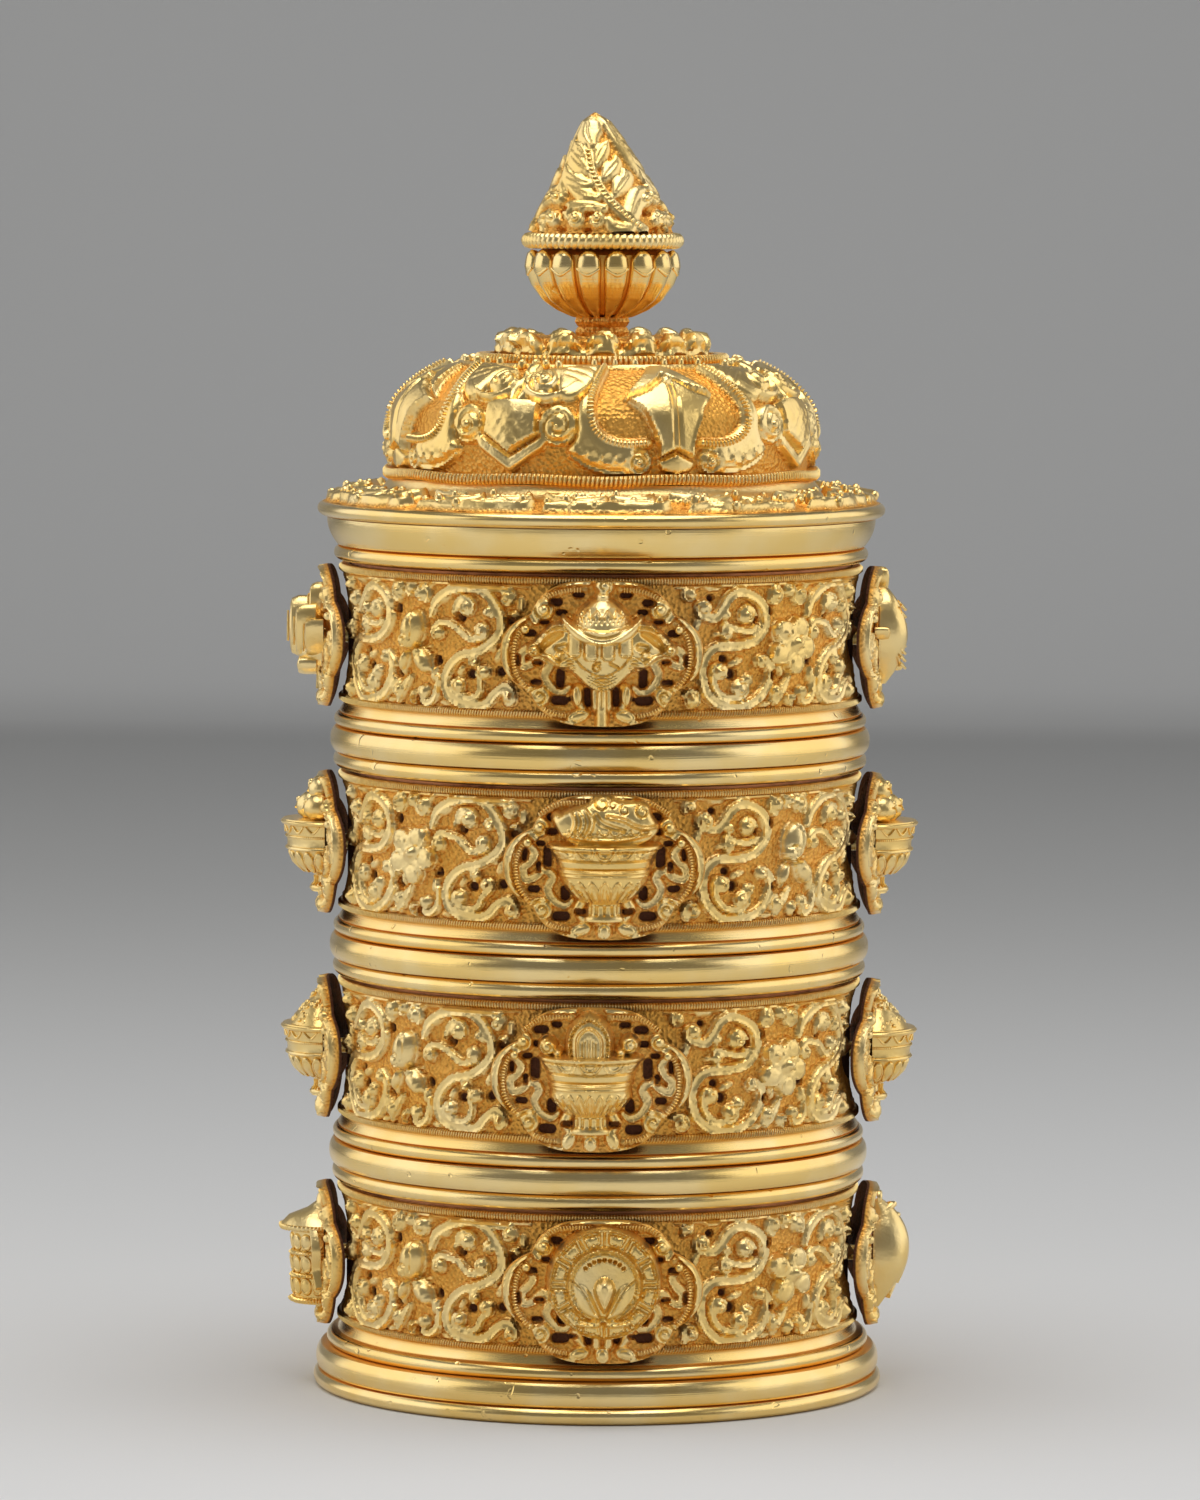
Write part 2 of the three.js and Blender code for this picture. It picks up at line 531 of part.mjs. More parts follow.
function foliage(outline) {
  const leaf = (shape, rise) => wrappedLeaf(shape, rise, LEAF_ROOT, outline, DOME_SIDE_RADIUS);
  const box = leaf(BOX_LEAF, BOX_RISE).rotate([0, 0, 45]);
  const half = union([
    leaf(KITE, KITE_RISE),
    box.mirror([1, 0, 0]).rotate([0, 0, 90]),
    leaf(ribbon(TAIL, TAIL_STEPS), TAIL_RISE),
    leaf(ribbon(WING, WING_STEPS), WING_RISE),
    leaf(disc(...VOLUTE), VOLUTE_RISE),
  ]);
  return turnQuarters(half.add(half.mirror([1, 0, 0])), 4, KITE_TURN);
}

function dome() {
  const bulge = DOME_SIDE_RADIUS + DOME_SIDE_BULGE;
  const middle = (DOME_COVE_TOP + DOME_SIDE_TOP) / 2;
  const inside = DOME_SIDE_RADIUS - DOME_THICKNESS;
  const chased = [[DOME_SIDE_RADIUS, DOME_COVE_TOP], [bulge, middle], ...crownOutline(0)];
  const sheet = turnedRing([
    [DOME_FOOT_RADIUS, SHOULDER_TOP],
    [DOME_SIDE_RADIUS + DOME_COVE_WIDTH / 4, SHOULDER_TOP + DOME_COVE_HEIGHT / 2],
    ...chased,
    [ROD_BORE, DOME_TOP],
    [ROD_BORE, WASHER_TOP],
    ...crownOutline(DOME_THICKNESS).reverse(),
    [bulge - DOME_THICKNESS, middle],
    [inside, SHOULDER_TOP],
  ]);
  return geometryOf(union([solidOf(sheet), ...foliage(chased)]));
}

function domeWire(inner, foot) {
  const [middle, outer] = [inner + DOME_WIRE_WIDTH / 2, inner + DOME_WIRE_WIDTH];
  const [crest, top] = [foot + DOME_WIRE_WIDTH / 2, foot + DOME_WIRE_WIDTH];
  return turnedRing([[inner, foot], [middle, foot], [outer, crest], [middle, top], [inner, top]]);
}

function lotusCrown() {
  const outline = [
    [ROD_BORE, DOME_TOP],
    [LOTUS_FOOT_RADIUS, DOME_TOP],
    [LOTUS_RADIUS, (DOME_TOP + LOTUS_TOP) / 2],
    [LOTUS_RADIUS - LOTUS_RIM_WIDTH, LOTUS_TOP],
    [LOTUS_DISH_RADIUS, NECK_FOOT],
    [ROD_BORE, NECK_FOOT],
  ];
  const petalFoot = (LOTUS_DISH_RADIUS + LOTUS_FOOT_RADIUS) / 2;
  const petalled = (radius) => (radius > petalFoot ? LOTUS_NOTCH : 0);
  return lobed(turnedRing(outline, LOTUS_PETALS * 4), LOTUS_PETALS, petalled);
}

function neck() {
  const middle = NECK_FOOT + NECK_HEIGHT / 2;
  const side = [[NECK_RADIUS, NECK_FOOT], [NECK_RADIUS - NECK_WAIST, middle], [NECK_RADIUS, CUP_FOOT]];
  return turnedRing([[ROD_BORE, NECK_FOOT], ...side, [ROD_BORE, CUP_FOOT]]);
}

function gadroonedCup() {
  const [width, height] = [CUP_RADIUS - CUP_FOOT_RADIUS, CUP_HEIGHT - CUP_LIP_HEIGHT];
  const side = Array.from({ length: CUP_STEPS + 1 }, (_, i) => {
    const angle = (i * Math.PI) / 2 / CUP_STEPS;
    return [CUP_FOOT_RADIUS + width * Math.sin(angle), CUP_FOOT + height * (1 - Math.cos(angle))];
  });
  const holeTop = CUP_FOOT + ROD_GRIP + ROD_CLEARANCE;
  const outline = [
    [0, holeTop],
    [ROD_BORE, holeTop],
    [ROD_BORE, CUP_FOOT],
    ...side,
    [CUP_RADIUS - CUP_LIP_HEIGHT, ROPE_FOOT],
    [0, ROPE_FOOT],
  ];
  const grooved = (radius) => (radius > (ROD_BORE + CUP_FOOT_RADIUS) / 2 ? CUP_GROOVE : 0);
  return lobed(turned(outline, CUP_GADROONS * 2), CUP_GADROONS, grooved);
}

function ropeRing() {
  const [edge, middle] = [ROPE_RADIUS - ROPE_BULGE, ROPE_FOOT + ROPE_HEIGHT / 2];
  return turned([[0, ROPE_FOOT], [edge, ROPE_FOOT], [ROPE_RADIUS, middle], [edge, BUD_FOOT], [0, BUD_FOOT]]);
}

function bud() {
  const outline = Array.from({ length: BUD_STEPS + 1 }, (_, i) => {
    const share = i / BUD_STEPS;
    return [BUD_RADIUS * (1 - share) ** BUD_FULLNESS, BUD_FOOT + BUD_HEIGHT * share];
  });
  return turned([[0, BUD_FOOT], ...outline]);
}

function rod() {
  const [foot, top] = [NUT_FOOT - ROD_TAIL, CUP_FOOT + ROD_GRIP];
  return turned([[0, foot], [ROD_RADIUS, foot], [ROD_RADIUS, top], [0, top]], ROD_SIDES);
}

function lid() {
  const group = new THREE.Group();
  const lowerWireBore = DOME_SIDE_RADIUS + DOME_SIDE_BULGE + SOLDER_GAP;
  group.add(
    named("lid_edge_moulding", edgeMoulding(), gilding()),
    named("lid_shoulder", shoulder(), gilding()),
    named("lid_dome", dome(), gilding()),
    named("lid_lower_milled_wire", domeWire(lowerWireBore, DOME_COVE_TOP - DOME_WIRE_WIDTH / 2), gilding()),
    named("lid_upper_milled_wire", domeWire(UPPER_WIRE_RADIUS - DOME_WIRE_WIDTH / 2, DOME_TOP), gilding()),
    named("lotus_crown", lotusCrown(), gilding()),
    named("finial_neck", neck(), gilding()),
    named("finial_cup", gadroonedCup(), gilding()),
    named("finial_rope_ring", ropeRing(), gilding()),
    named("finial_bud", bud(), gilding()),
    named("finial_rod", rod(), bareCopper()),
    named("finial_washer", plainRing(ROD_BORE, WASHER_RADIUS, NUT_TOP, WASHER_TOP, ROD_SIDES), bareCopper()),
    named("finial_nut", plainRing(ROD_BORE, NUT_RADIUS, NUT_FOOT, NUT_TOP, 6), bareCopper()),
  );
  group.position.z = LID_SEAT;
  return group;
}

const pot = new THREE.Group();
TIER_TURNS.forEach((_, index) => pot.add(tier(index)));
pot.add(lid());

export default pot;
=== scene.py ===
import bisect
import math
import random

import bmesh
import bpy
from mathutils import Matrix, Vector, noise


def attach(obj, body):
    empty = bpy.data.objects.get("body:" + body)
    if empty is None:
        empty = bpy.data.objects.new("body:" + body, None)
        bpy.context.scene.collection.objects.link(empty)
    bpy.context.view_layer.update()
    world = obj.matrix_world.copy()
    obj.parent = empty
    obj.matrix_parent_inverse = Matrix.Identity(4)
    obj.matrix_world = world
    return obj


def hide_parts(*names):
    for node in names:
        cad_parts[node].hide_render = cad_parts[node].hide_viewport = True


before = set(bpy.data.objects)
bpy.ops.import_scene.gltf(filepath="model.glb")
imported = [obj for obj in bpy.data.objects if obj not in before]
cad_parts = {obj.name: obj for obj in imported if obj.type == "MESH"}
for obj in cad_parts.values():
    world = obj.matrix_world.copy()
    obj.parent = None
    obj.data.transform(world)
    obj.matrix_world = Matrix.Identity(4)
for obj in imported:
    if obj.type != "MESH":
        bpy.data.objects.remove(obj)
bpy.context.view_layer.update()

MM = 0.001
TURN = 2 * math.pi
ROUND_STEPS = 192  # steps round a smooth turned piece
TIER_HEIGHT = 32.5
TIER_TURNS = [1.1, -1.5, 1.0, 0.3]  # degrees that each tier is turned on its seat, from the base up
LID_SEAT = TIER_HEIGHT * len(TIER_TURNS)
SIDES = ["front", "right", "back", "left"]

WALL_BORE = 38.0
WALL_RADIUS = 39.2
COLLAR_RADIUS = 37.5
SKIN_BORE = 39.5  # inside of all that is soldered round a wall
BAND_FACE = 40.4
BAND_FOOT = 11.6
BAND_TOP = 30.7
BAND_CENTRE = (BAND_FOOT + BAND_TOP) / 2
BAND_STEPS = 960
BAND_ROWS = 70
PANEL_RADIUS = 41.3  # the scrolls are measured along the arc of this radius
MEDALLION_BACK = 42.5
MEDALLION_CENTRE = 20.5

MARK = 100.0  # added to a point's place up a skin, so that chase knows which points to raise
SKIN_STEP = 0.28  # spacing of a chased skin's rows
WELD = 1e-4  # points closer than this are one
SEAM_WELD = 2e-4  # the same where the parts of a ring meet
ROD_BORE = 1.95  # hole for the rod, through all that it holds
SHOULDER_REACH = 42.5

collection = bpy.context.scene.collection


class Value:
    """A socket of a finish, on which arithmetic adds Math nodes."""

    def __init__(self, finish, socket):
        self.finish = finish
        self.socket = socket

    def maths(self, operation, *terms):
        return self.finish.node("ShaderNodeMath", {"operation": operation}, dict(enumerate(terms)))

    def __add__(self, other):
        return self.maths("ADD", self, other)

    def __radd__(self, other):
        return self.maths("ADD", other, self)

    def __sub__(self, other):
        return self.maths("SUBTRACT", self, other)

    def __rsub__(self, other):
        return self.maths("SUBTRACT", other, self)

    def __mul__(self, other):
        return self.maths("MULTIPLY", self, other)


class Finish:
    """A procedural material."""

    def __init__(self, name):
        self.material = bpy.data.materials.new(name)
        self.material.use_nodes = True
        self.tree = self.material.node_tree
        self.shader = self.tree.nodes["Principled BSDF"]

    def node(self, kind, settings=None, inputs=None, output=0):
        """Adds a node, with its settings first and then the values or links of its sockets."""
        made = self.tree.nodes.new(kind)
        for name, setting in (settings or {}).items():
            if name == "stops":
                self.set_stops(made.color_ramp, setting)
            else:
                setattr(made, name, setting)
        for key, term in (inputs or {}).items():
            self.feed(made.inputs[key], term)
        return Value(self, made.outputs[output])

    def set_stops(self, ramp, stops):
        while len(ramp.elements) < len(stops):
            ramp.elements.new(1)
        for element, (place, colour) in zip(ramp.elements, stops):
            element.position = place
            element.color = (*colour, 1)

    def feed(self, socket, term):
        if isinstance(term, Value):
            self.tree.links.new(term.socket, socket)
        else:
            socket.default_value = term

    def shade(self, **sockets):
        """Feeds the shader: names are sockets in small letters with underscores for spaces."""
        for name, term in sockets.items():
            self.feed(self.shader.inputs[name.replace("_", " ").title()], term)
        return self.material

    def place(self):
        return self.node("ShaderNodeTexCoord", output="Object")

    def scaled(self, place, scale):
        return self.node("ShaderNodeMapping", inputs={"Vector": place, "Scale": scale})

    def noise(self, place, scale, detail=2.0, roughness=0.5):
        sockets = {"Vector": place, "Scale": scale, "Detail": detail, "Roughness": roughness}
        return self.node("ShaderNodeTexNoise", inputs=sockets)

    def span(self, value, low, high):
        """0 up to low, 1 from high, and smooth between."""
        settings = {"interpolation_type": "SMOOTHSTEP"}
        sockets = {"Value": value, "From Min": low, "From Max": high}
        return self.node("ShaderNodeMapRange", settings, sockets)

    def blend(self, factor, first, second):
        """Mixes two colours."""
        return self.node("ShaderNodeMix", {"data_type": "RGBA"}, {0: factor, 6: first, 7: second}, output=2)

    def bump(self, height, distance, strength):
        sockets = {"Height": height, "Distance": distance, "Strength": strength}
        return self.node("ShaderNodeBump", inputs=sockets)


GOLD = (0.98, 0.69, 0.24, 1)
PALE_GOLD = (1.0, 0.77, 0.36, 1)
# Painted shade for the recesses.
RECESS_SHADE = (0.84, 0.40, 0.055, 1)
# Painted shadow for the pierced holes.
HOLE_SHADOW = (0.10, 0.03, 0.008, 1)


def gold_colour(finish, place):
    """Pale on the crests, with painted shade that turns the recesses orange and painted shadow that makes
    the pierced holes nearly black.
    """
    relief = finish.node("ShaderNodeAttribute", {"attribute_name": "relief"}, output="Fac")
    patches = finish.noise(place, 90.0, 3.0)
    low = 1 - finish.span(relief, 0.0, 0.75)
    crest = finish.blend(finish.span(patches, 0.35, 0.7), GOLD, PALE_GOLD)
    # Painted shade: the lower the relief, the deeper the orange.
    colour = finish.blend(low * 0.85, crest, RECESS_SHADE)
    # Painted shadow: where the relief falls below zero, the colour turns nearly black.
    hole_shadow = 1 - finish.span(relief, -0.8, -0.15)
    return finish.blend(hole_shadow, colour, HOLE_SHADOW), low, hole_shadow


def relief_gilding():
    """Fire gilding on cast and chased ornament, a little uneven, with a punched ground."""
    finish = Finish("gilded_relief")
    place = finish.place()
    colour, low, hole_shadow = gold_colour(finish, place)
    grain = finish.noise(place, 2600.0, 3.0)
    dents = finish.noise(place, 700.0, 2.0)
    punched = finish.node("ShaderNodeTexVoronoi", inputs={"Vector": place, "Scale": 1500.0})
    height = grain * 0.5 + dents + low * punched * 4.0
    # The extra roughness and the lost metal in the holes are part of their painted shadow.
    roughness = 0.31 + low * 0.18 + hole_shadow * 0.3
    normal = finish.bump(height, 0.00012, 0.6)
    return finish.shade(base_color=colour, metallic=1 - hole_shadow * 0.7, roughness=roughness, normal=normal)


def brushed_gilding():
    """Burnished mouldings, brushed round the pot, with small pits."""
    finish = Finish("burnished_gilding")
    place = finish.place()
    colour, low, hole_shadow = gold_colour(finish, place)
    brushing = finish.noise(finish.scaled(place, (60.0, 60.0, 5200.0)), 1.0, 4.0, 0.6)
    waves = finish.noise(finish.scaled(place, (40.0, 40.0, 500.0)), 1.0, 2.0)
    pits = finish.span(finish.noise(place, 420.0, 1.0), 0.72, 0.78)
    height = brushing * 0.5 + waves - pits * 2.0
    roughness = 0.17 + low * 0.2 + brushing * 0.1
    normal = finish.bump(height, 0.00008, 0.6)
    # The lost metal in the holes is part of their painted shadow.
    return finish.shade(base_color=colour, metallic=1 - hole_shadow * 0.5, roughness=roughness, normal=normal)


def aged_copper():
    """The pot's plain inside, brown with age."""
    finish = Finish("aged_copper")
    place = finish.place()
    stains = finish.noise(place, 120.0, 5.0, 0.6)
    stops = [(0.3, (0.16, 0.06, 0.03)), (0.5, (0.5, 0.22, 0.1)), (0.7, (0.75, 0.38, 0.2))]
    colour = finish.node("ShaderNodeValToRGB", {"stops": stops}, {"Fac": stains})
    scratches = finish.noise(finish.scaled(place, (80.0, 80.0, 3000.0)), 1.0, 3.0)
    roughness = 0.3 + stains * 0.3
    normal = finish.bump(scratches, 0.00006, 0.5)
    return finish.shade(base_color=colour, metallic=1.0, roughness=roughness, normal=normal)


# Each finish with a slot name.
MATT = (relief_gilding(), "gilding")
BURNISHED = (brushed_gilding(), "gilding")
BARE = (aged_copper(), "bare_copper")


def new_mesh():
    mesh = bmesh.new()
    # Each point's relief: the gold finishes paint shade where it is low and shadow where it is below zero.
    mesh.verts.layers.float.new("relief")
    return mesh


def ring(mesh, outline, steps=ROUND_STEPS, relief=1.0, closed=True):
    """Spins an outline of (radius, height) points round the pot's axis. A third number is its relief, which
    paints shade on the gold where it is low.
    """
    parts = next(n for n in (10, 8, 6, 4, 3, 2, 1) if steps % n == 0)
    wedge = new_mesh()
    layer = wedge.verts.layers.float["relief"]
    verts = []
    for point in outline:
        vert = wedge.verts.new((point[0], 0, point[1]))
        vert[layer] = point[2] if len(point) > 2 else relief
        verts.append(vert)
    ends = verts[1:] + verts[:1] if closed else verts[1:]
    edges = [wedge.edges.new(pair) for pair in zip(verts, ends)]
    part_turn = {"cent": (0, 0, 0), "axis": (0, 0, 1), "angle": TURN / parts, "steps": steps // parts}
    bmesh.ops.spin(wedge, geom=verts + edges, **part_turn)
    carrier = bpy.data.meshes.new("carrier")
    wedge.to_mesh(carrier)
    wedge.free()
    before = len(mesh.verts)
    for _ in range(parts):
        mesh.from_mesh(carrier)
        carrier.transform(Matrix.Rotation(TURN / parts, 4, "Z"))
    bpy.data.meshes.remove(carrier)
    mesh.verts.ensure_lookup_table()
    bmesh.ops.remove_doubles(mesh, verts=mesh.verts[before:], dist=SEAM_WELD)
    mesh.verts.ensure_lookup_table()
    return mesh.verts[before:]


def joined(mesh, other):
    """Adds the other mesh to the first and frees it."""
    carrier = bpy.data.meshes.new("carrier")
    other.to_mesh(carrier)
    other.free()
    mesh.from_mesh(carrier)
    bpy.data.meshes.remove(carrier)


def finished(name, mesh, finish, node, body, seat=0.0, turn=0.0, sharp=40.0):
    """Makes a mesh in millimetres a piece that rides on a body and stands for a CAD node."""
    material, slot = finish
    bmesh.ops.remove_doubles(mesh, verts=mesh.verts, dist=WELD)
    bmesh.ops.recalc_face_normals(mesh, faces=mesh.faces)
    bmesh.ops.rotate(mesh, verts=mesh.verts, matrix=Matrix.Rotation(math.radians(turn), 3, "Z"))
    bmesh.ops.translate(mesh, verts=mesh.verts, vec=(0, 0, seat))
    bmesh.ops.scale(mesh, verts=mesh.verts, vec=(MM, MM, MM))
    for face in mesh.faces:
        face.smooth = True
    data = bpy.data.meshes.new(name)
    mesh.to_mesh(data)
    mesh.free()
    data.set_sharp_from_angle(angle=math.radians(sharp))
    data.materials.append(material)
    piece = bpy.data.objects.new(name, data)
    collection.objects.link(piece)
    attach(piece, body)
    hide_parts(node)


def smooth_line(points, spacing=0.5):
    """A line through all the points, of however many numbers each, that bends smoothly at them."""
    ends = [points[0], *points, points[-1]]
    line = []
    for before, start, end, after in zip(ends, ends[1:], ends[2:], ends[3:]):
        count = max(1, round(math.dist(start[:2], end[:2]) / spacing))
        for i in range(count):
            t = i / count
            pull = [(-t + 2 * t**2 - t**3) / 2, (2 - 5 * t**2 + 3 * t**3) / 2]
            pull += [(t + 4 * t**2 - 3 * t**3) / 2, (t**3 - t**2) / 2]
            four = zip(before, start, end, after)
            line.append(tuple(sum(p * c for p, c in zip(pull, terms)) for terms in four))
    return [*line, tuple(points[-1])]


RIB_STEPS = 10
RIB_GROOVE = 0.35  # depth of the groove under and over a rib
RIB_LIP = 0.14  # height of its wall


def bulged(foot, top, low, high, bulge, power=2.5):
    """The side of a turned rib from a foot height to a top height, with a groove under and over it."""
    # The low relief in the grooves and at the lips paints them with shade.
    side = [(low - RIB_GROOVE, foot + 0.02, 0.1), (low - 0.02, foot + RIB_LIP, 0.5)]
    for i in range(RIB_STEPS + 1):
        t = i / RIB_STEPS
        out = bulge * (1 - abs(2 * t - 1) ** power)
        side.append((low + (high - low) * t + out, foot + RIB_LIP + (top - foot - 2 * RIB_LIP) * t, 1.0))
    return [*side, (high - 0.02, top - RIB_LIP, 0.5), (high - RIB_GROOVE, top - 0.02, 0.1)]


def wobbled(verts, reach, size, seed):
    """Moves points in or out a little, as on hand-finished metal."""
    for vert in verts:
        radius = math.hypot(vert.co.x, vert.co.y)
        if radius > 1:
            wave = noise.noise(vert.co / size + Vector((seed, 2.3, 5.7)))
            share = 1 + reach * wave / radius
            vert.co.x *= share
            vert.co.y *= share


def section(name, points):
    """A closed outline that ribbons are bent along: x across and y out, with a half width of 1."""
    curve = bpy.data.curves.new(name, "CURVE")
    curve.dimensions = "2D"
    spline = curve.splines.new("POLY")
    spline.points.add(len(points) - 1)
    spline.points.foreach_set("co", [c for x, y in points for c in (x, y, 0, 1)])
    spline.use_cyclic_u = True
    shape = bpy.data.objects.new(name, curve)
    collection.objects.link(shape)
    shape.hide_render = True
    return shape


def mirrored(half):
    """An outline from its right half, which runs from the top to the foot."""
    return half + [(-x, y) for x, y in reversed(half) if x > 0]


HALF_SECTIONS = {
    "lined": [(0, 1.18), (0.4, 1.16), (0.5, 1.0), (0.6, 1.15), (0.86, 1.08), (1, 0.8), (1, -0.6)],
    "round": [(0, 1.1), (0.5, 1.0), (0.85, 0.65), (1, 0.15), (1, -0.6)],
    "lobe": [(0, 0.78), (0.35, 0.74), (0.65, 0.6), (0.88, 0.32), (1, -0.1), (1, -0.5)],
    "wire": [(0, 1), (0.7, 0.7), (1, 0), (0.7, -0.7), (0, -1)],
}
SECTIONS = {name: section(name, mirrored(half)) for name, half in HALF_SECTIONS.items()}


PILE = 40  # stamps that wait before they join the ornament


class Relief:
    """Ornament drawn flat: x along the surface, y up it and z out of it."""

    def __init__(self):
        self.mesh = new_mesh()
        self.pile = new_mesh()  # stamps wait here, because a small mesh takes new parts faster
        self.piled = 0
        self.strokes = {}

    def stroke(self, shape, line):
        """Adds a ribbon along (x, y, z, half width) points."""
        self.strokes.setdefault(shape, []).append(line)

    def stamp(self, shape, x, y, z, size, turn=0.0):
        size = size if isinstance(size, tuple) else (size, size, size)
        turned = Matrix.Rotation(math.radians(turn), 4, "Z")
        copy = STAMPS[shape].copy()
        copy.transform(Matrix.Translation((x, y, z)) @ turned @ Matrix.Diagonal((*size, 1)))
        self.pile.from_mesh(copy)
        bpy.data.meshes.remove(copy)
        self.piled += 1
        if self.piled == PILE:
            self.unload()

    def unload(self):
        joined(self.mesh, self.pile)
        self.pile = new_mesh()
        self.piled = 0

    def draw(self):
        """Adds the stamps, and bends every ribbon's section along its line."""
        self.unload()
        for shape, lines in self.strokes.items():
            curve = bpy.data.curves.new("ribbons", "CURVE")
            curve.dimensions = "3D"
            curve.twist_mode = "Z_UP"
            curve.bevel_mode = "OBJECT"
            curve.bevel_object = SECTIONS[shape]
            curve.use_fill_caps = True
            for line in lines:
                spline = curve.splines.new("POLY")
                spline.points.add(len(line) - 1)
                spline.points.foreach_set("co", [c for x, y, z, _ in line for c in (x, y, z, 1)])
                spline.points.foreach_set("radius", [point[3] for point in line])
            holder = bpy.data.objects.new("ribbons", curve)
            collection.objects.link(holder)
            bent = bpy.data.meshes.new_from_object(
                holder.evaluated_get(bpy.context.evaluated_depsgraph_get())
            )
            self.mesh.from_mesh(bent)
            bpy.data.objects.remove(holder)
            bpy.data.curves.remove(curve)
            bpy.data.meshes.remove(bent)
        self.strokes = {}

    def wrapped(self, place):
        """Draws the ribbons, then moves each point to place(x, y, z) and keeps z as its relief."""
        self.draw()
        layer = self.mesh.verts.layers.float["relief"]
        for vert in self.mesh.verts:
            vert[layer] = max(vert.co.z, 0.0)
            vert.co = place(*vert.co)
        return self.mesh


def lathe_stamp(name, outline, steps):
    """A small turned shape on its own axis, which stamps copy."""
    mesh = new_mesh()
    ring(mesh, outline, steps, closed=False)
    bmesh.ops.remove_doubles(mesh, verts=mesh.verts, dist=WELD)
    bmesh.ops.recalc_face_normals(mesh, faces=mesh.faces)
    data = bpy.data.meshes.new(name)
    mesh.to_mesh(data)
    mesh.free()
    return data


# Outlines of the stamps, and the steps round each.
STAMP_SIDES = {
    "tooth": ([(0, 1), (0.7, 0.75), (1, 0), (0.9, -0.8), (0, -0.8)], 8),
    "bead": ([(0, 1), (0.5, 0.87), (0.87, 0.5), (1, 0), (0.8, -0.6), (0, -0.6)], 10),
    "button": (
        [(0, 0.5), (0.2, 0.55), (0.34, 0.95), (0.6, 1.05), (0.86, 0.75), (1, 0.2), (1, -0.6), (0, -0.6)],
        12,
    ),
    "petal": (
        [(0, 0.95), (0.45, 0.88), (0.66, 0.7), (0.74, 0.84), (0.9, 0.74), (1, 0.3), (1, -0.6), (0, -0.6)],
        20,
    ),
    "knob": (
        [(0, 1), (0.42, 0.92), (0.75, 0.7), (0.82, 0.5), (0.95, 0.4), (1, 0), (0.8, -0.6), (0, -1)], 12,
    ),
}
STAMPS = {name: lathe_stamp(name, side, steps) for name, (side, steps) in STAMP_SIDES.items()}

# Scrolls of a band's panel, from the flower at its middle: x along the arc and y from the band's centre.
# Each has its line, its half width, and the round coils (x, y, radius) that it starts and ends in.
SCROLLS = [
    (
        [
            (-14.3, 4.6), (-11.7, 7.6), (-9.1, 8.3), (-5.9, 6.4), (-5.2, 3.4), (-7.3, 0.8), (-10.9, 0.1),
            (-14.3, 0), (-16.2, -1.6), (-16.8, -4), (-15.9, -7), (-13.5, -9.0), (-10, -9.3), (-6.8, -8.1),
            (-4.9, -5.9), (-4.3, -3.6),
        ],
        0.95, (-16.4, 6.0, 1.7), (-6.1, -2.5, 1.3),
    ),
    ([(-12.6, 3.2), (-10.6, 2.6), (-8.0, 2.4), (-6.9, 3.6)], 0.7, (-12.2, 2.1, 1.2), (-8.9, 4.6, 1.7)),
    ([(-14.6, -5.6), (-13.4, -7.2), (-11.6, -7.8)], 0.7, (-13.5, -3.9, 1.7), (-10, -6.4, 1.7)),
    (
        [
            (3.9, 4.4), (5.0, 6.7), (7.9, 8.5), (12.2, 8.9), (15.0, 6.9), (16.6, 3.5), (15.6, 1.0),
            (12.9, -0.6), (9.6, -1.7), (7.0, -4.5), (7.3, -7.6), (10.3, -9.2), (13.8, -8.8), (15.7, -7.1),
            (17.4, -6.1),
        ],
        0.95, None, (17.9, -7.9, 1.4),
    ),
    ([(5.8, 3.4), (7.6, 3.2), (9.0, 2.6), (11.2, 1.0)], 0.75, (5.4, 1.8, 1.4), (13.1, 2.4, 1.5)),
    ([(9.0, 3.4), (8.6, 5.0), (9.4, 6.9)], 0.65, None, (10.7, 5.8, 1.7)),
    ([(10.6, -8.0), (12.6, -7.4), (13.2, -5.8)], 0.65, (9.3, -6.2, 1.5), (13.8, -4.1, 1.4)),
    ([(-0.5, -5), (-1.6, -6.6), (-3.2, -8.9)], 0.8, None, None),
    ([(3.0, -9.1), (4.9, -7.9), (5.4, -5.1)], 0.7, (2.6, -7.4, 1.3), None),
    ([(11.6, 8.6), (14.6, 8.9), (16.8, 8.8)], 0.7, None, (17.6, 7.4, 1.5)),
]
WHORL_SIZE = 1.16
PANEL_HALF = 22  # half the length of a panel's drawing
COILS = [
    (-18.4, -7.9, 1.6), (-3.0, -7.2, 1.5), (-3.2, 7.9, 1.6), (2.0, 7.6, 1.6), (-18.6, 1.4, 1.5),
    (19.0, 1.2, 1.4), (-0.4, 8.4, 1.2), (-18.8, 8.2, 1.2), (-8.6, -5.0, 1.1), (14.4, 5.2, 1.1),
    (18.6, 4.4, 1.1), (0.4, -8.4, 1.2), (12.0, -2.6, 1.0), (-12.2, 4.9, 0.9),
]
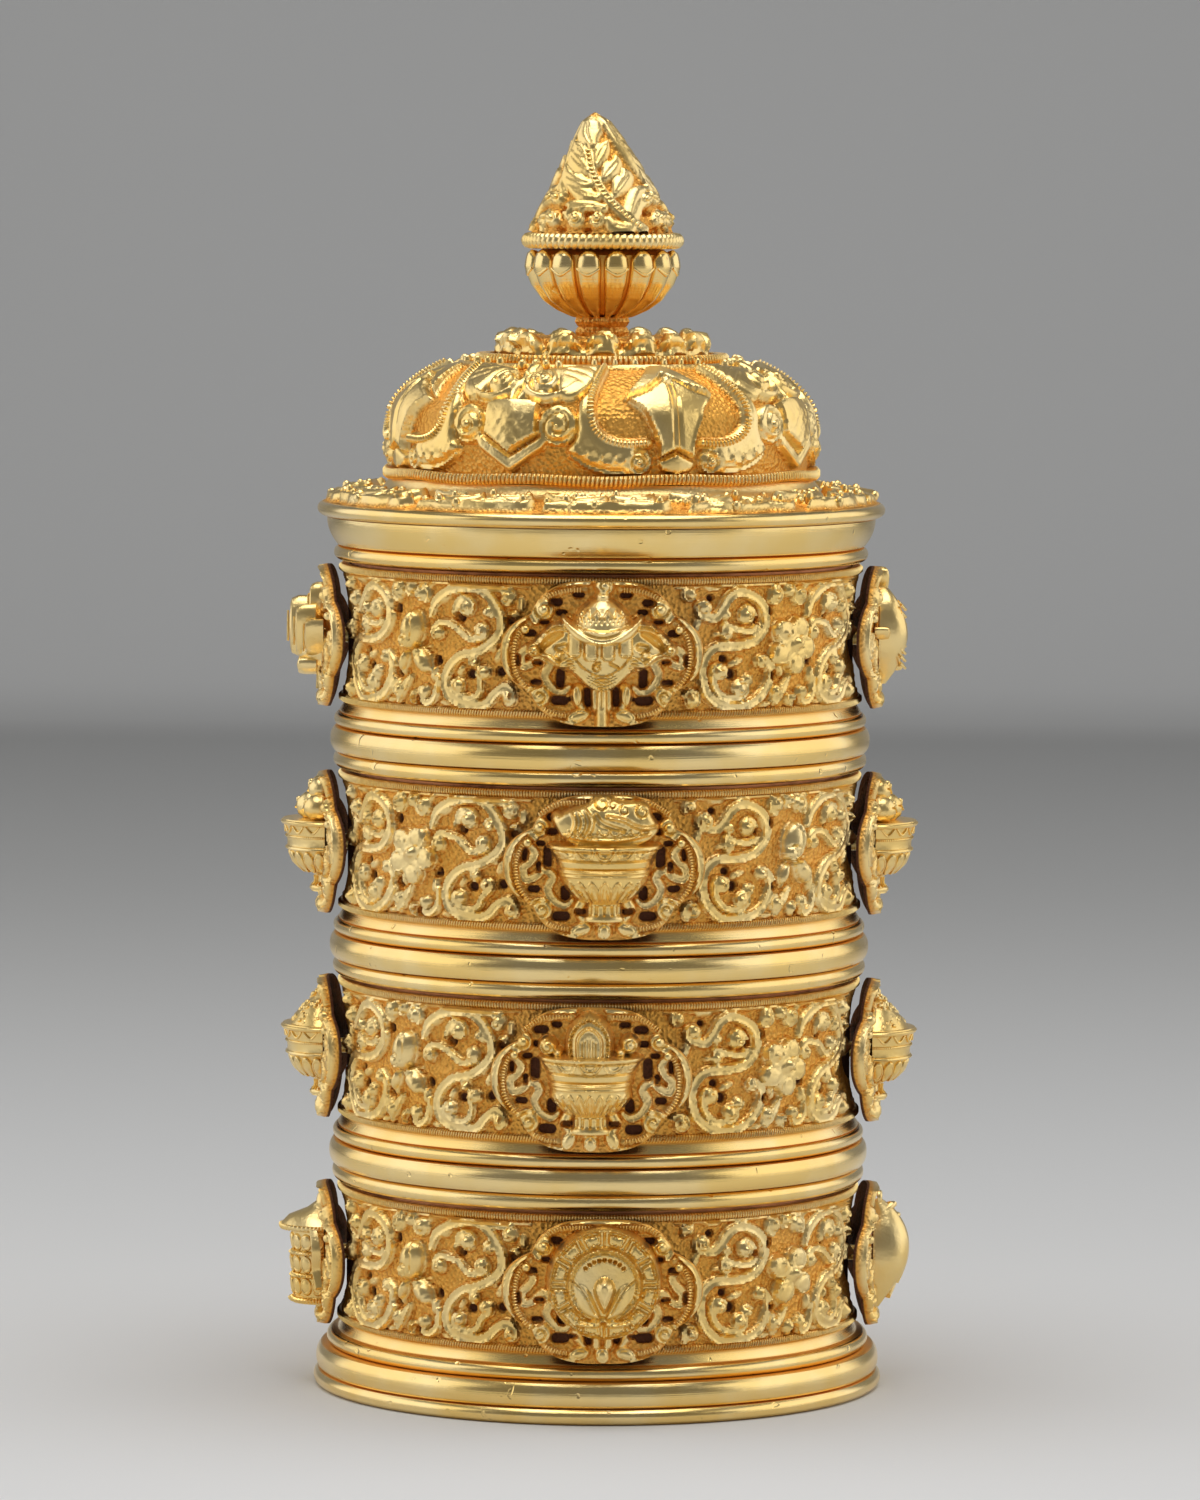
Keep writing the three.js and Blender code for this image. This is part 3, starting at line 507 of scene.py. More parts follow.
# Small leaves between the scrolls: x, y, half length, half width, turn and height.
SCROLL_LEAVES = [
    (-17.6, 3.4, 1.6, 0.8, 70, 1.0), (-10.6, -2.4, 1.5, 0.7, 20, 0.9), (-8.2, 5.9, 1.2, 0.6, -30, 0.9),
    (-2.2, -3.6, 1.6, 0.7, 100, 1.0), (4.6, -4.4, 1.6, 0.8, 80, 1.0), (6.6, 7.0, 1.3, 0.7, 30, 0.9),
    (14.8, 0.2, 1.4, 0.7, 120, 0.9), (16.2, -1.2, 1.5, 0.7, 60, 0.9), (-19.6, -3.6, 1.5, 0.8, 90, 1.0),
    (19.8, 6.6, 1.4, 0.8, 90, 0.9), (9.6, -3.9, 1.1, 0.6, 60, 0.9), (-13.6, 2.0, 1.2, 0.5, 10, 0.8),
    (-5.0, -9.0, 1.4, 0.5, 10, 0.8), (6.6, -9.0, 1.2, 0.5, -10, 0.8), (-14.6, 8.9, 1.6, 0.5, 0, 0.8),
    (3.6, 8.8, 1.0, 0.5, 40, 0.8),
]
PITS = [
    (-15.0, 7.4, 0.6), (-7.0, 4.0, 0.6), (-11.3, -4.2, 0.9), (-3.4, -4.6, 0.8), (4.8, -2.6, 0.9),
    (9.3, 4.2, 0.8), (11.2, -4.4, 0.8), (-4.0, 5.2, 0.8), (1.2, -8.7, 0.8), (16.3, -3.9, 0.8),
    (-12.6, -1.9, 0.7), (18.2, 3.9, 0.8),
]


def segments(line):
    """Each stretch of a line: start, run, 1 over the run's square, half width and what the width gains."""
    found = []
    for (x0, y0, w0), (x1, y1, w1) in zip(line, line[1:]):
        run_x, run_y = x1 - x0, y1 - y0
        found.append((x0, y0, run_x, run_y, 1 / max(run_x * run_x + run_y * run_y, 1e-9), w0, w1 - w0))
    return found


def line_distance(stretches, x, y):
    """How far a point is from a line, and the line's half width at the nearest place."""
    best, width = 1e9, 0.0
    for x0, y0, run_x, run_y, per, w0, more in stretches:
        off_x, off_y = x - x0, y - y0
        t = (off_x * run_x + off_y * run_y) * per
        t = 0.0 if t < 0 else 1.0 if t > 1 else t
        off_x -= run_x * t
        off_y -= run_y * t
        gap = off_x * off_x + off_y * off_y
        if gap < best:
            best, width = gap, w0 + more * t
    return math.sqrt(best), width


def within(stretches, x, y):
    """Whether a point lies inside a closed outline."""
    inside = False
    for x0, y0, run_x, run_y, *_ in stretches:
        if (y0 > y) != (y0 + run_y > y) and x < x0 + run_x * (y - y0) / run_y:
            inside = not inside
    return inside


class Chasing:
    """Heights of work raised and cut in a sheet, drawn flat: x along the surface and y up it."""

    def __init__(self):
        self.forms = []

    def add(self, kind, line, margin, *terms):
        xs, ys = [p[0] for p in line], [p[1] for p in line]
        box = (min(xs) - margin, max(xs) + margin, min(ys) - margin, max(ys) + margin)
        self.forms.append((box, kind, segments(line), terms))

    def plate(self, outline, rise, tilt=None, wall=0.4, pillow=0.3, reach=1.5, smooth=True):
        """A raised place. The tilt gives the height at (x, y), and the pillow rounds its face."""
        edge = smooth_line(closed(outline), 0.7) if smooth else closed(outline)
        tilt = tilt or (lambda x, y: rise)
        self.add("plate", even(edge, 0.0), 0.2, tilt, wall, pillow, reach)

    def ridge(self, line, rise):
        """A round-topped ribbon along (x, y, half width) points."""
        self.add("ridge", smooth_line(line, 0.4), max(p[2] for p in line), rise)

    def line(self, line, rise, smooth=True):
        """A thin line added to what is there, or cut in it where the rise is below 0."""
        self.add("line", smooth_line(line, 0.3) if smooth else line, max(p[2] for p in line), rise)

    def height(self, x, y):
        top = 0.0
        for (low_x, high_x, low_y, high_y), kind, line, terms in self.forms:
            if not (low_x < x < high_x and low_y < y < high_y):
                continue
            gap, width = line_distance(line, x, y)
            if kind == "plate":
                tilt, wall, pillow, reach = terms
                depth = gap if within(line, x, y) else -gap
                t = min(max((depth + 0.15) / wall, 0.0), 1.0)
                round_share = 1 - (1 - min(max(depth, 0.0) / reach, 1.0)) ** 2
                top = max(top, tilt(x, y) * t * t * (3 - 2 * t) * (1 - pillow + pillow * round_share))
            elif gap < width:
                near = gap / width
                share = 1 - near * near
                if kind == "ridge":
                    top = max(top, terms[0] * math.sqrt(share))
                elif kind == "band":
                    top = max(
                        top,
                        terms[0] * min(1.0, (1 - near) * 4) - terms[1] * max(0.0, 1 - (near / 0.7) ** 2),
                    )
                elif kind == "pit":
                    top = max(min(top, 0.25) - terms[0] * min(1.0, share * 2.2), -terms[0])
                else:
                    top += terms[0] * share * share
        return top

    def baked(self, left, right, foot, top, step=0.2):
        """The same heights, worked out once on a grid and read between its points."""
        columns, rows = math.ceil((right - left) / step), math.ceil((top - foot) / step)
        grid = [
            [self.height(left + i * step, foot + j * step) for j in range(rows + 1)]
            for i in range(columns + 1)
        ]

        def height(x, y):
            across = min(max((x - left) / step, 0.0), columns - 0.001)
            up = min(max((y - foot) / step, 0.0), rows - 0.001)
            i, j = int(across), int(up)
            s, t = across - i, up - j
            low = grid[i][j] * (1 - s) + grid[i + 1][j] * s
            high = grid[i][j + 1] * (1 - s) + grid[i + 1][j + 1] * s
            return low * (1 - t) + high * t

        return height


def chase(mesh, skin, height, wobble=0.05):
    """Raises the points that carry the skin's mark and their place up its outline."""
    layer = mesh.verts.layers.float["relief"]
    for vert in mesh.verts:
        if vert[layer] < MARK / 2:
            continue
        y = vert[layer] - MARK
        x = skin.reach * math.atan2(vert.co.x, -vert.co.y)
        z = height(x, y) + wobble * noise.noise(vert.co * 0.5)
        vert.co = skin(x, y, z)
        vert[layer] = max(z, 0.0)


def polar(x, y, radius, angle):
    """The place at a distance and angle from (x, y)."""
    return x + radius * math.cos(angle), y + radius * math.sin(angle)


def closed(points):
    """The corners of an outline, back to the first one."""
    return [*points, points[0]]


def even(points, half_width):
    """The points of a line that is equally wide all along."""
    return [(x, y, half_width) for x, y in points]


def spiral(x, y, radius, start, turns, half_width):
    """A coiled line from the rim of a disc to near its middle."""
    points = []
    steps = round(abs(turns) * 16)
    for i in range(steps + 1):
        share = i / steps
        reach = radius * (0.86 - 0.62 * share)
        angle = math.radians(start) + TURN * turns * share
        points.append((*polar(x, y, reach, angle), half_width * (1 - 0.35 * share)))
    return points


def circle(x, y, wide, tall=None, turn=0.0, steps=20):
    """The corners of a round or oval outline."""
    tall = tall or wide
    lean = math.radians(turn)
    corners = []
    for i in range(steps):
        a, b = wide * math.cos(TURN * i / steps), tall * math.sin(TURN * i / steps)
        corners.append(
            (x + a * math.cos(lean) - b * math.sin(lean), y + a * math.sin(lean) + b * math.cos(lean))
        )
    return corners


def coil(x, y, radius, start, hand, half_width, turns=1.1):
    """Points of a coil that winds inwards from a start angle; hand is 1 for anticlockwise."""
    line = []
    steps = round(turns * 14)
    for i in range(steps + 1):
        share = i / steps
        reach = (radius - half_width) * (1 - 0.62 * share)
        angle = start + hand * turns * TURN * share
        line.append((*polar(x, y, reach, angle), half_width * (1 - 0.38 * share)))
    return line


def entry(disc, point, before, half_width):
    """The angle and hand by which a ribbon from before through point runs into a coil without a kink."""
    x, y, radius = disc
    reach = radius - half_width
    far = max(math.dist((x, y), point), reach * 1.001)
    best = None
    for hand in (1, -1):
        angle = math.atan2(point[1] - y, point[0] - x) + hand * math.acos(reach / far)
        onward = Vector((-math.sin(angle), math.cos(angle))) * hand
        fit = onward.dot((Vector(point) - Vector(before)).normalized())
        if best is None or fit > best[0]:
            best = (fit, angle, hand)
    return best[1], best[2]


def whorl(work, x, y, radius, jitter):
    """A stepped cone with a pitted tip, which a ribbon runs round."""
    x, y = x + jitter.uniform(-0.1, 0.1), y + jitter.uniform(-0.1, 0.1)
    tall = 0.75 + radius * 0.32

    def tilt(px, py):
        near = min(math.dist((px, py), (x, y)) / radius, 1.0)
        return 0.85 + tall * (1 - near) ** 0.8

    work.plate(circle(x, y, radius), 0, tilt, 0.3, 0.0, smooth=False)
    work.line(
        spiral(x, y, radius, jitter.uniform(0, 360), jitter.choice((1.5, -1.5)), 0.12 + radius * 0.06),
        -0.42, smooth=False,
    )
    work.line([(x - 0.02, y, 0.26), (x + 0.02, y, 0.26)], -0.7, smooth=False)


def scroll(work, line, half_width, first, last, jitter):
    """A flat ribbon along a line, which winds round a whorl at each end that has one."""
    line = [(x + jitter.uniform(-0.15, 0.15), y + jitter.uniform(-0.15, 0.15)) for x, y in line]
    points = [(x, y, half_width) for x, y in line]
    for whorl_disc, at_end in ((first, False), (last, True)):
        tip, before = (-1, -2) if at_end else (0, 1)
        if whorl_disc:
            x, y, radius = whorl_disc
            radius *= WHORL_SIZE
            wound = coil(
                x, y, radius, *entry((x, y, radius), line[tip], line[before], half_width), half_width,
            )
            points = points + wound if at_end else wound[::-1] + points
            whorl(work, x, y, radius * 0.66, jitter)
        else:
            points[tip] = (*points[tip][:2], half_width * 0.6)
    work.add("band", smooth_line(points, 0.35), half_width, jitter.uniform(1.0, 1.2), 0.24)


def rosette(work, jitter):
    petals, turn = jitter.choice((4, 5)), jitter.uniform(20, 70)
    for i in range(petals):
        angle = math.radians(turn) + TURN * i / petals
        x, y = polar(0, 0, 2.7, angle)
        work.plate(circle(x, y, 2.1, 1.9, math.degrees(angle), 12), 1.9, None, 0.35, 0.15, 1.2)
        inset = circle(*polar(x, y, 0.3, angle), 1.35, 1.25, math.degrees(angle), 12)
        work.line(even(closed(inset), 0.16), -0.3)
    work.plate(circle(0, 0, 1.75), 2.2, None, 0.4, 0.5, 1.6, smooth=False)
    work.plate(circle(0.5, 0.3, 1.1), 2.9, None, 0.5, 0.5, 1.1, smooth=False)
    work.plate(circle(-2.0, 1.9, 0.7), 2.5, None, 0.5, 0.5, 0.7, smooth=False)


def bell(work):
    """A bell-shaped flower seen from the side, with its calyx and two leaves."""
    work.plate(circle(-1.7, -2.7, 1.0, 1.9, -22, 12), 1.7, None, 0.5, 0.6, 1.0)
    work.plate(circle(0.3, 2.1, 2.5, 3.4, -14, 16), 2.7, None, 0.6, 0.6, 2.4)
    work.line([(0.4, 4.9, 0.4), (0.9, 2.8, 0.5), (0.7, 0.6, 0.3)], -0.5)
    work.plate(circle(-0.8, 0.5, 1.4), 2.6, None, 0.4, 0.3, 1.2, smooth=False)
    work.line(spiral(-0.8, 0.5, 1.4, 40, 1.3, 0.22), -0.5, smooth=False)
    work.plate(circle(2.5, -2.6, 1.6, 2.3, 38, 14), 2.2, None, 0.4, 0.5, 1.6)
    work.line([(0.5, -1.6, 0.3), (2.0, -0.7, 0.35), (3.7, -0.4, 0.3)], 0.7)
    work.line([(0.9, -2.4, 0.16), (2.3, -1.5, 0.16), (4.0, -1.3, 0.16)], -0.4)
    work.line([(2.0, -4.2, 0.14), (3.2, -3.4, 0.14), (4.2, -2.6, 0.14)], -0.3)


def scroll_work(flower, seed):
    """The foliage of a band's panel."""
    jitter = random.Random(seed)
    work = Chasing()
    for x, y, wide, tall, turn, rise in SCROLL_LEAVES:
        work.plate(
            circle(x, y, wide, tall, turn, 12), rise * jitter.uniform(0.8, 1.1), None, 0.4, 0.6, tall,
        )
        fold = math.radians(turn)
        ends = [polar(x, y, reach, fold) for reach in (-wide * 0.8, wide * 0.8)]
        work.line(even(ends, 0.2), -0.3)
    for x, y, radius in COILS:
        wound = coil(
            x, y, radius * 1.25, jitter.uniform(0, TURN), jitter.choice((1, -1)), radius * 0.42, 1.2,
        )
        work.add("band", wound, radius * 0.5, 1.0, 0.2)
        whorl(work, x, y, radius * 0.8, jitter)
    for parts in SCROLLS:
        scroll(work, *parts, jitter)
    work.line(even([(-21, 9.2), (-8, 9.35), (4, 9.35), (21, 9.2)], 0.4), 0.7)
    for x, y, reach in PITS:
        work.add("pit", [(x - 0.1, y, reach), (x + 0.1, y, reach)], reach, 0.85)
    if flower == "rosette":
        rosette(work, jitter)
    else:
        bell(work)
    return work.baked(-PANEL_HALF, PANEL_HALF, -9.6, 9.6, 0.18)


# Flowers of each tier's panels: right front, right back, left back, left front.
FLOWERS = [
    ["rosette", "bell"] * 2, ["rosette", "bell"] * 2, ["bell", "rosette"] * 2, ["rosette", "bell"] * 2,
]
panel_works = {
    (flower, i): scroll_work(flower, 7 * i + 3)
    for flower in ("rosette", "bell") for i in range(2)
}


def lobed_reach(angle, margin):
    """How far a medallion's outline lies from its centre at an angle: a tall block across a wide oval."""
    reaches = []
    for half_width, half_height, power in ((11.6, 11.2, 3.0), (15.5, 7.6, 2.4)):
        across = (abs(math.cos(angle)) / (half_width - margin)) ** power
        up = (abs(math.sin(angle)) / (half_height - margin)) ** power
        reaches.append((across + up) ** (-1 / power))
    return max(reaches)


# Behind a medallion the band is sunk, up to this margin inside its outline and this far up and down; that
# depth is also its relief, which paints it nearly black as painted shadow.
BEHIND_MARGIN = 2.4
BEHIND_HEIGHT = 8.6
BEHIND_DEPTH = -0.8


def scroll_band(mesh, index):
    """The chased sheet round a tier, sunk behind the medallions."""
    rows = BAND_ROWS
    outside = [(BAND_FACE, BAND_FOOT + (BAND_TOP - BAND_FOOT) * i / rows, 0.0) for i in range(rows + 1)]
    verts = ring(mesh, [(SKIN_BORE, BAND_FOOT), *outside, (SKIN_BORE, BAND_TOP)], BAND_STEPS, relief=0.0)
    layer = mesh.verts.layers.float["relief"]
    for vert in verts:
        radius = math.hypot(vert.co.x, vert.co.y)
        if radius < BAND_FACE - 0.1:
            continue
        angle = math.atan2(vert.co.x, -vert.co.y)
        quarter = (angle + TURN) % (TURN / 4)
        x = (quarter - TURN / 8) * PANEL_RADIUS
        y = vert.co.z - BAND_CENTRE
        depth = 0.1 * noise.noise(vert.co * 0.9)
        if abs(x) < PANEL_HALF:
            side = int(((angle + TURN) % TURN) / (TURN / 4))
            bent = 0.3 * noise.noise((vert.co.x * 0.15, vert.co.y * 0.15, index * 5.1))
            depth += panel_works[FLOWERS[index][side], (index + side) % 2](x + bent, y - bent * 0.5)
        behind = ((angle + TURN / 8) % (TURN / 4) - TURN / 8) * PANEL_RADIUS
        covered = math.hypot(behind, y) < lobed_reach(math.atan2(y, behind), BEHIND_MARGIN)
        if covered and abs(y) < BEHIND_HEIGHT:
            depth = BEHIND_DEPTH
        share = (radius + depth) / radius
        vert.co.x *= share
        vert.co.y *= share
        # The depth is kept as relief, so the grooves are painted with shade and the sunk band nearly black
        # as painted shadow.
        vert[layer] = depth


def milled_wire(mesh, foot, top, inner, outer, ticks, depth, slant=0.0):
    """A wire whose outside is cut in fine ticks."""
    height = top - foot
    side = [
        (outer - 0.35, foot), (outer, foot + 0.25 * height), (outer, top - 0.25 * height),
        (outer - 0.35, top),
    ]
    verts = ring(mesh, [(inner, foot), *side, (inner, top)], ticks * 2)
    layer = mesh.verts.layers.float["relief"]
    for vert in verts:
        radius = math.hypot(vert.co.x, vert.co.y)
        if radius < outer - 0.5:
            continue
        angle = math.atan2(vert.co.y, vert.co.x)
        step = round(angle / TURN * ticks * 2)
        if step % 2:
            radius -= depth
            # The cut gaps get a relief below zero, which paints them dark as painted shade.
            vert[layer] = -0.45
        angle += slant * (vert.co.z - foot) / radius
        vert.co.x = radius * math.cos(angle)
        vert.co.y = radius * math.sin(angle)


BASE_RIBS = [(0, 2.5, 44.2, 44.2), (2.5, 6.4, 43.9, 43.7), (6.4, 8.7, 42.2, 42.0)]
UPPER_RIBS = [(0, 2.5, 41.3, 41.3), (2.5, 6.4, 41.8, 41.8), (6.4, 8.7, 41.2, 41.2)]


def foot_moulding(mesh, ribs, seed):
    outline = [(SKIN_BORE, 0)]
    for foot, top, low, high in ribs:
        outline += bulged(foot, top, low, high, 0.6)
    outline += [(41.0, 8.75, 0.3), (40.9, 9.0, 0.8), (40.3, 9.9, 0.5), (40.2, 10.4, 0.1), (SKIN_BORE, 10.4)]
    wobbled(ring(mesh, outline), 0.07, 14.0, seed)


def plain_ring(mesh, inner, outer, foot, top):
    """A ring of sheet with softened edges."""
    soft = 0.25
    outline = [(inner, foot + soft), (inner + soft, foot), (outer - soft, foot), (outer, foot + soft)]
    outline += [(outer, top - soft), (outer - soft, top), (inner + soft, top), (inner, top - soft)]
    return ring(mesh, outline)


def build_tier(index):
    title = f"tier_{index + 1}"
    seat = index * TIER_HEIGHT
    turn = TIER_TURNS[index]
    placed = {"body": title, "seat": seat, "turn": turn}

    mesh = new_mesh()
    wobbled(plain_ring(mesh, WALL_BORE, WALL_RADIUS, 0, TIER_HEIGHT), 0.06, 18.0, index)
    finished(f"{title}_smooth_wall", mesh, BARE, f"{title}_wall", **placed)

    mesh = new_mesh()
    plain_ring(mesh, COLLAR_RADIUS - 1.2, COLLAR_RADIUS, TIER_HEIGHT - 7, TIER_HEIGHT + 4)
    finished(f"{title}_smooth_collar", mesh, BARE, f"{title}_seat_collar", **placed)

    mesh = new_mesh()
    foot_moulding(mesh, BASE_RIBS if index == 0 else UPPER_RIBS, index * 7.1)
    finished(f"{title}_turned_foot", mesh, BURNISHED, f"{title}_foot_moulding", **placed)

    mesh = new_mesh()
    milled_wire(mesh, 10.4, 11.6, SKIN_BORE, 41.1, 560, 0.26, 0.3)
    finished(f"{title}_lower_ticked_wire", mesh, MATT, f"{title}_lower_milled_wire", **placed)
    mesh = new_mesh()
    milled_wire(mesh, 30.7, 31.9, SKIN_BORE, 41.1, 560, 0.24)
    finished(f"{title}_upper_ticked_wire", mesh, MATT, f"{title}_upper_milled_wire", **placed)

    mesh = new_mesh()
    scroll_band(mesh, index)
    finished(f"{title}_scrolls", mesh, MATT, f"{title}_scroll_band", **placed)

    if index == 0:
        mesh = new_mesh()
        ring(
            mesh, [(0, 2), (COLLAR_RADIUS - 0.4, 2), (COLLAR_RADIUS, 2.4), (COLLAR_RADIUS, 3.2), (0, 3.2)],
            closed=False,
        )
        finished(f"{title}_smooth_floor", mesh, BARE, f"{title}_floor_pan", **placed)


class Skin:
    """Wraps a flat drawing on a turned surface: x runs along the arc of the reach and y up its outline."""

    def __init__(self, outline, reach, turn=0.0, shrink=0.0):
        self.outline = outline
        self.reach = reach
        self.turn = math.radians(turn)
        self.shrink = shrink  # 1 lowers relief in step with the radius
        self.lengths = [0.0]
        for start, end in zip(outline, outline[1:]):
            self.lengths.append(self.lengths[-1] + math.dist(start, end))
        slopes = [Vector((b[1] - a[1], a[0] - b[0])).normalized() for a, b in zip(outline, outline[1:])]
        self.normals = [(a + b).normalized() for a, b in zip([slopes[0], *slopes], [*slopes, slopes[-1]])]

    def marked(self):
        """The outline for a ring, marked for chase."""
        return [(r, z, MARK + length) for (r, z), length in zip(self.outline, self.lengths)]

    def __call__(self, x, y, z):
        y = min(max(y, 0.0), self.lengths[-1])
        i = min(bisect.bisect_right(self.lengths, y), len(self.lengths) - 1) - 1
        t = (y - self.lengths[i]) / (self.lengths[i + 1] - self.lengths[i])
        (r0, z0), (r1, z1) = self.outline[i], self.outline[i + 1]
        out = self.normals[i].lerp(self.normals[i + 1], t)
        radius = r0 + (r1 - r0) * t
        z *= (radius / self.reach) ** self.shrink
        angle = self.turn + x / self.reach
        radius = max(radius + out.x * z, 0.0)
        return Vector((radius * math.sin(angle), -radius * math.cos(angle), z0 + (z1 - z0) * t + out.y * z))


def ticked(line, pitch, share):
    """The line again, with its half width drawn in by a share at every other step of half a pitch."""
    fine = smooth_line(line, pitch / 2)
    return [(x, y, z, w * (1 - share * (i % 2))) for i, (x, y, z, w) in enumerate(fine)]


def boss(relief, corners, rise, edge, crown, base):
    """A raised plate with an outline of corners, a bevelled edge and a faceted crown."""
    mesh = relief.mesh
    face = mesh.faces.new([mesh.verts.new((x, y, base - 0.4)) for x, y in corners])
    top = bmesh.ops.extrude_face_region(mesh, geom=[face])["geom"]
    lifted = [g for g in top if isinstance(g, bmesh.types.BMVert)]
    bmesh.ops.translate(mesh, verts=lifted, vec=(0, 0, rise + 0.4))
    face = next(g for g in top if isinstance(g, bmesh.types.BMFace))
    bmesh.ops.inset_region(mesh, faces=[face], thickness=edge, depth=0, use_even_offset=True)
    bmesh.ops.inset_region(mesh, faces=[face], thickness=edge * 0.5, depth=0, use_even_offset=True)
    bmesh.ops.translate(mesh, verts=face.verts, vec=(0, 0, -0.25))
    bmesh.ops.inset_region(mesh, faces=[face], thickness=edge * 0.3, depth=0, use_even_offset=True)
    bmesh.ops.translate(mesh, verts=face.verts, vec=(0, 0, 0.3))
    bmesh.ops.poke(mesh, faces=[face], offset=crown)


LID_RIBS = [
    (0, 2.3, 41.3, 41.3, 0.6, 2.5), (2.3, 6.9, 41.4, 43.0, 0.45, 2.0), (6.9, 9.2, 43.8, 43.8, 0.7, 2.5),
]
SHOULDER_LINE = [(43.3, 9.2), (39.5, 10.1), (35.4, 10.9)]
COVE_LINE = [(35.4, 10.9), (34.3, 11.4), (33.6, 12.2), (33.3, 13.0), (32.1, 13.1)]
DOME_SIDE = [(32.1, 13.8), (32.4, 16.0), (32.5, 18.3), (32.4, 20.6), (32.1, 22.9)]
DOME_REACH = 32.1
DOME_TOP = 31.0
DOME_SHEET = 1.1
DOME_STEPS = 720
CROWN_FOOT, CROWN_TOP = 22.9, 30.8
CROWN_INNER, CROWN_OUTER = 20.4, 32.1
CROWN_POWER = 1.5
SECTOR = TURN * DOME_REACH / 4  # a quarter of the dome, along the arc


def dome_line():
    crown = []
    for i in range(1, 13):
        angle = i * math.pi / 24
        out, up = [share ** (2 / CROWN_POWER) for share in (math.cos(angle), math.sin(angle))]
        radius = CROWN_INNER + (CROWN_OUTER - CROWN_INNER) * out
        crown.append((radius, CROWN_FOOT + (CROWN_TOP - CROWN_FOOT) * up))
    return [*DOME_SIDE, *crown]


# Dome foliage, drawn from the middle of a kite-shaped leaf: x along the arc and y up the outline.
# It repeats in mirrored halves, from the middle of a kite to that of the box leaf beside it.
KITE_TURN = 20.0
BOX_AXIS = SECTOR / 2
STAR = [
    (0, 17.2), (1.2, 15.4), (3.6, 13.5), (7.0, 12.2), (4.8, 10.2), (3.5, 7.6), (2.8, 5.2), (2.8, 3.4),
    (0, 4.8),
]
STAR_RIM = [(6.6, 12.0), (4.5, 10.1), (3.2, 7.6), (2.5, 5.2), (2.5, 3.7)]
EAVE = [(0, 18.1), (1.0, 16.3), (3.6, 14.2), (7.2, 12.8)]
ROOF = [(0, 21.4), (1.6, 21.1), (3.9, 17.6), (7.5, 12.8), (3.7, 14.4), (1.1, 16.6), (0, 18.3)]
KITE_FOOT = [(0, 4.3), (2.9, 2.9), (2.5, 1.5), (0, 0.9)]
BOX_RIM = [(0, 3.6), (4.9, 6.7), (5.8, 5.7), (5.2, 4.6), (0, 1.1)]
BOX_LEAF = [(0, 11.7), (2.4, 11.8), (4.3, 11.2), (4.2, 8.8), (4.3, 6.9), (0, 4.1)]
FIELD_EDGE = [
    (10.5, 20.6), (11.5, 17.6), (12.4, 14.6), (12.9, 12.0), (12.8, 9.6), (12.0, 7.5), (10.2, 6.2),
    (7.6, 5.6), (4.4, 5.7),
]
TAIL = [
    (13.4, 13.6), (14.8, 11.8), (15.1, 9.4), (14.9, 7.4), (15.4, 5.8), (16.5, 4.5), (15.4, 3.0),
    (13.2, 1.7), (10.6, 1.0), (7.6, 1.0), (6.0, 1.6), (5.6, 4.6), (7.8, 5.5), (10.2, 6.1), (12.0, 7.5),
    (12.9, 9.6), (13.0, 12.0),
]
TAIL_LIP = [(16.2, 4.2, 0.35), (14.8, 3.5, 0.4), (13.0, 2.5, 0.4), (10.6, 1.9, 0.4), (8.0, 1.8, 0.3)]
WING = [
    (13.6, 14.2), (12.6, 16.0), (11.9, 18.4), (11.2, 20.6), (14.0, 20.9), (17.0, 20.5), (20.0, 19.7),
    (22.4, 19.0), (21.0, 17.9), (19.2, 16.6), (18.9, 14.6), (18.2, 12.8), (16.8, 12.0), (15.2, 12.6),
]
WING_LIP = [
    (24.0, 15.6, 0.5), (23.6, 13.8, 0.7), (21.6, 12.6, 0.8), (19.0, 12.6, 0.7), (16.8, 13.8, 0.5),
    (15.4, 15.2, 0.3),
]
WING_VEINS = [
    [(18.4, 19.0, 0.25), (15.6, 18.2, 0.3), (13.0, 16.6, 0.2)],
    [(17.6, 17.4, 0.25), (15.6, 16.4, 0.3), (13.9, 15.0, 0.2)],
    [(17.0, 20.0, 0.25), (14.6, 19.6, 0.3), (12.4, 18.4, 0.2)],
]
VOLUTE = (17.9, 8.1, 3.0)
FOOT_VOLUTE = (5.7, 2.9, 2.0)
HIGH_VOLUTE = (21.5, 15.9, 2.8)
TIP_LEAF = [(0, 22.0), (1.7, 20.6), (1.2, 18.6), (0, 17.6)]


def both_halves(half, middle=0.0):
    """An outline from its right half, which starts and ends on the middle line."""
    left = [(-x, y) for x, y in reversed(half) if x > 0]
    return [(middle + x, y) for x, y in half + left]


def spots_along(line, pitch):
    """Places every pitch along a line, each with its direction in degrees."""
    fine = smooth_line(line, pitch / 6)
    spots = []
    run = 0.0
    for start, end in zip(fine, fine[1:]):
        run += math.dist(start[:2], end[:2])
        if run >= pitch:
            run -= pitch
            spots.append((end, math.degrees(math.atan2(end[1] - start[1], end[0] - start[0]))))
    return spots


def teeth(relief, line, pitch, half_width, z, height):
    """A milled line: narrow teeth across it, one every pitch."""
    for spot, heading in spots_along(line, pitch):
        relief.stamp("tooth", spot[0], spot[1], z, (pitch * 0.4, half_width, height), heading)


def scallop(x, y, width, heading, half_width):
    """The edge of a scale that hangs below (x, y) when the heading is 0."""
    points = []
    for i in range(7):
        angle = math.radians(heading) + math.pi * (1 + i / 6)
        points.append((*polar(x, y, width, angle), half_width))
    return points


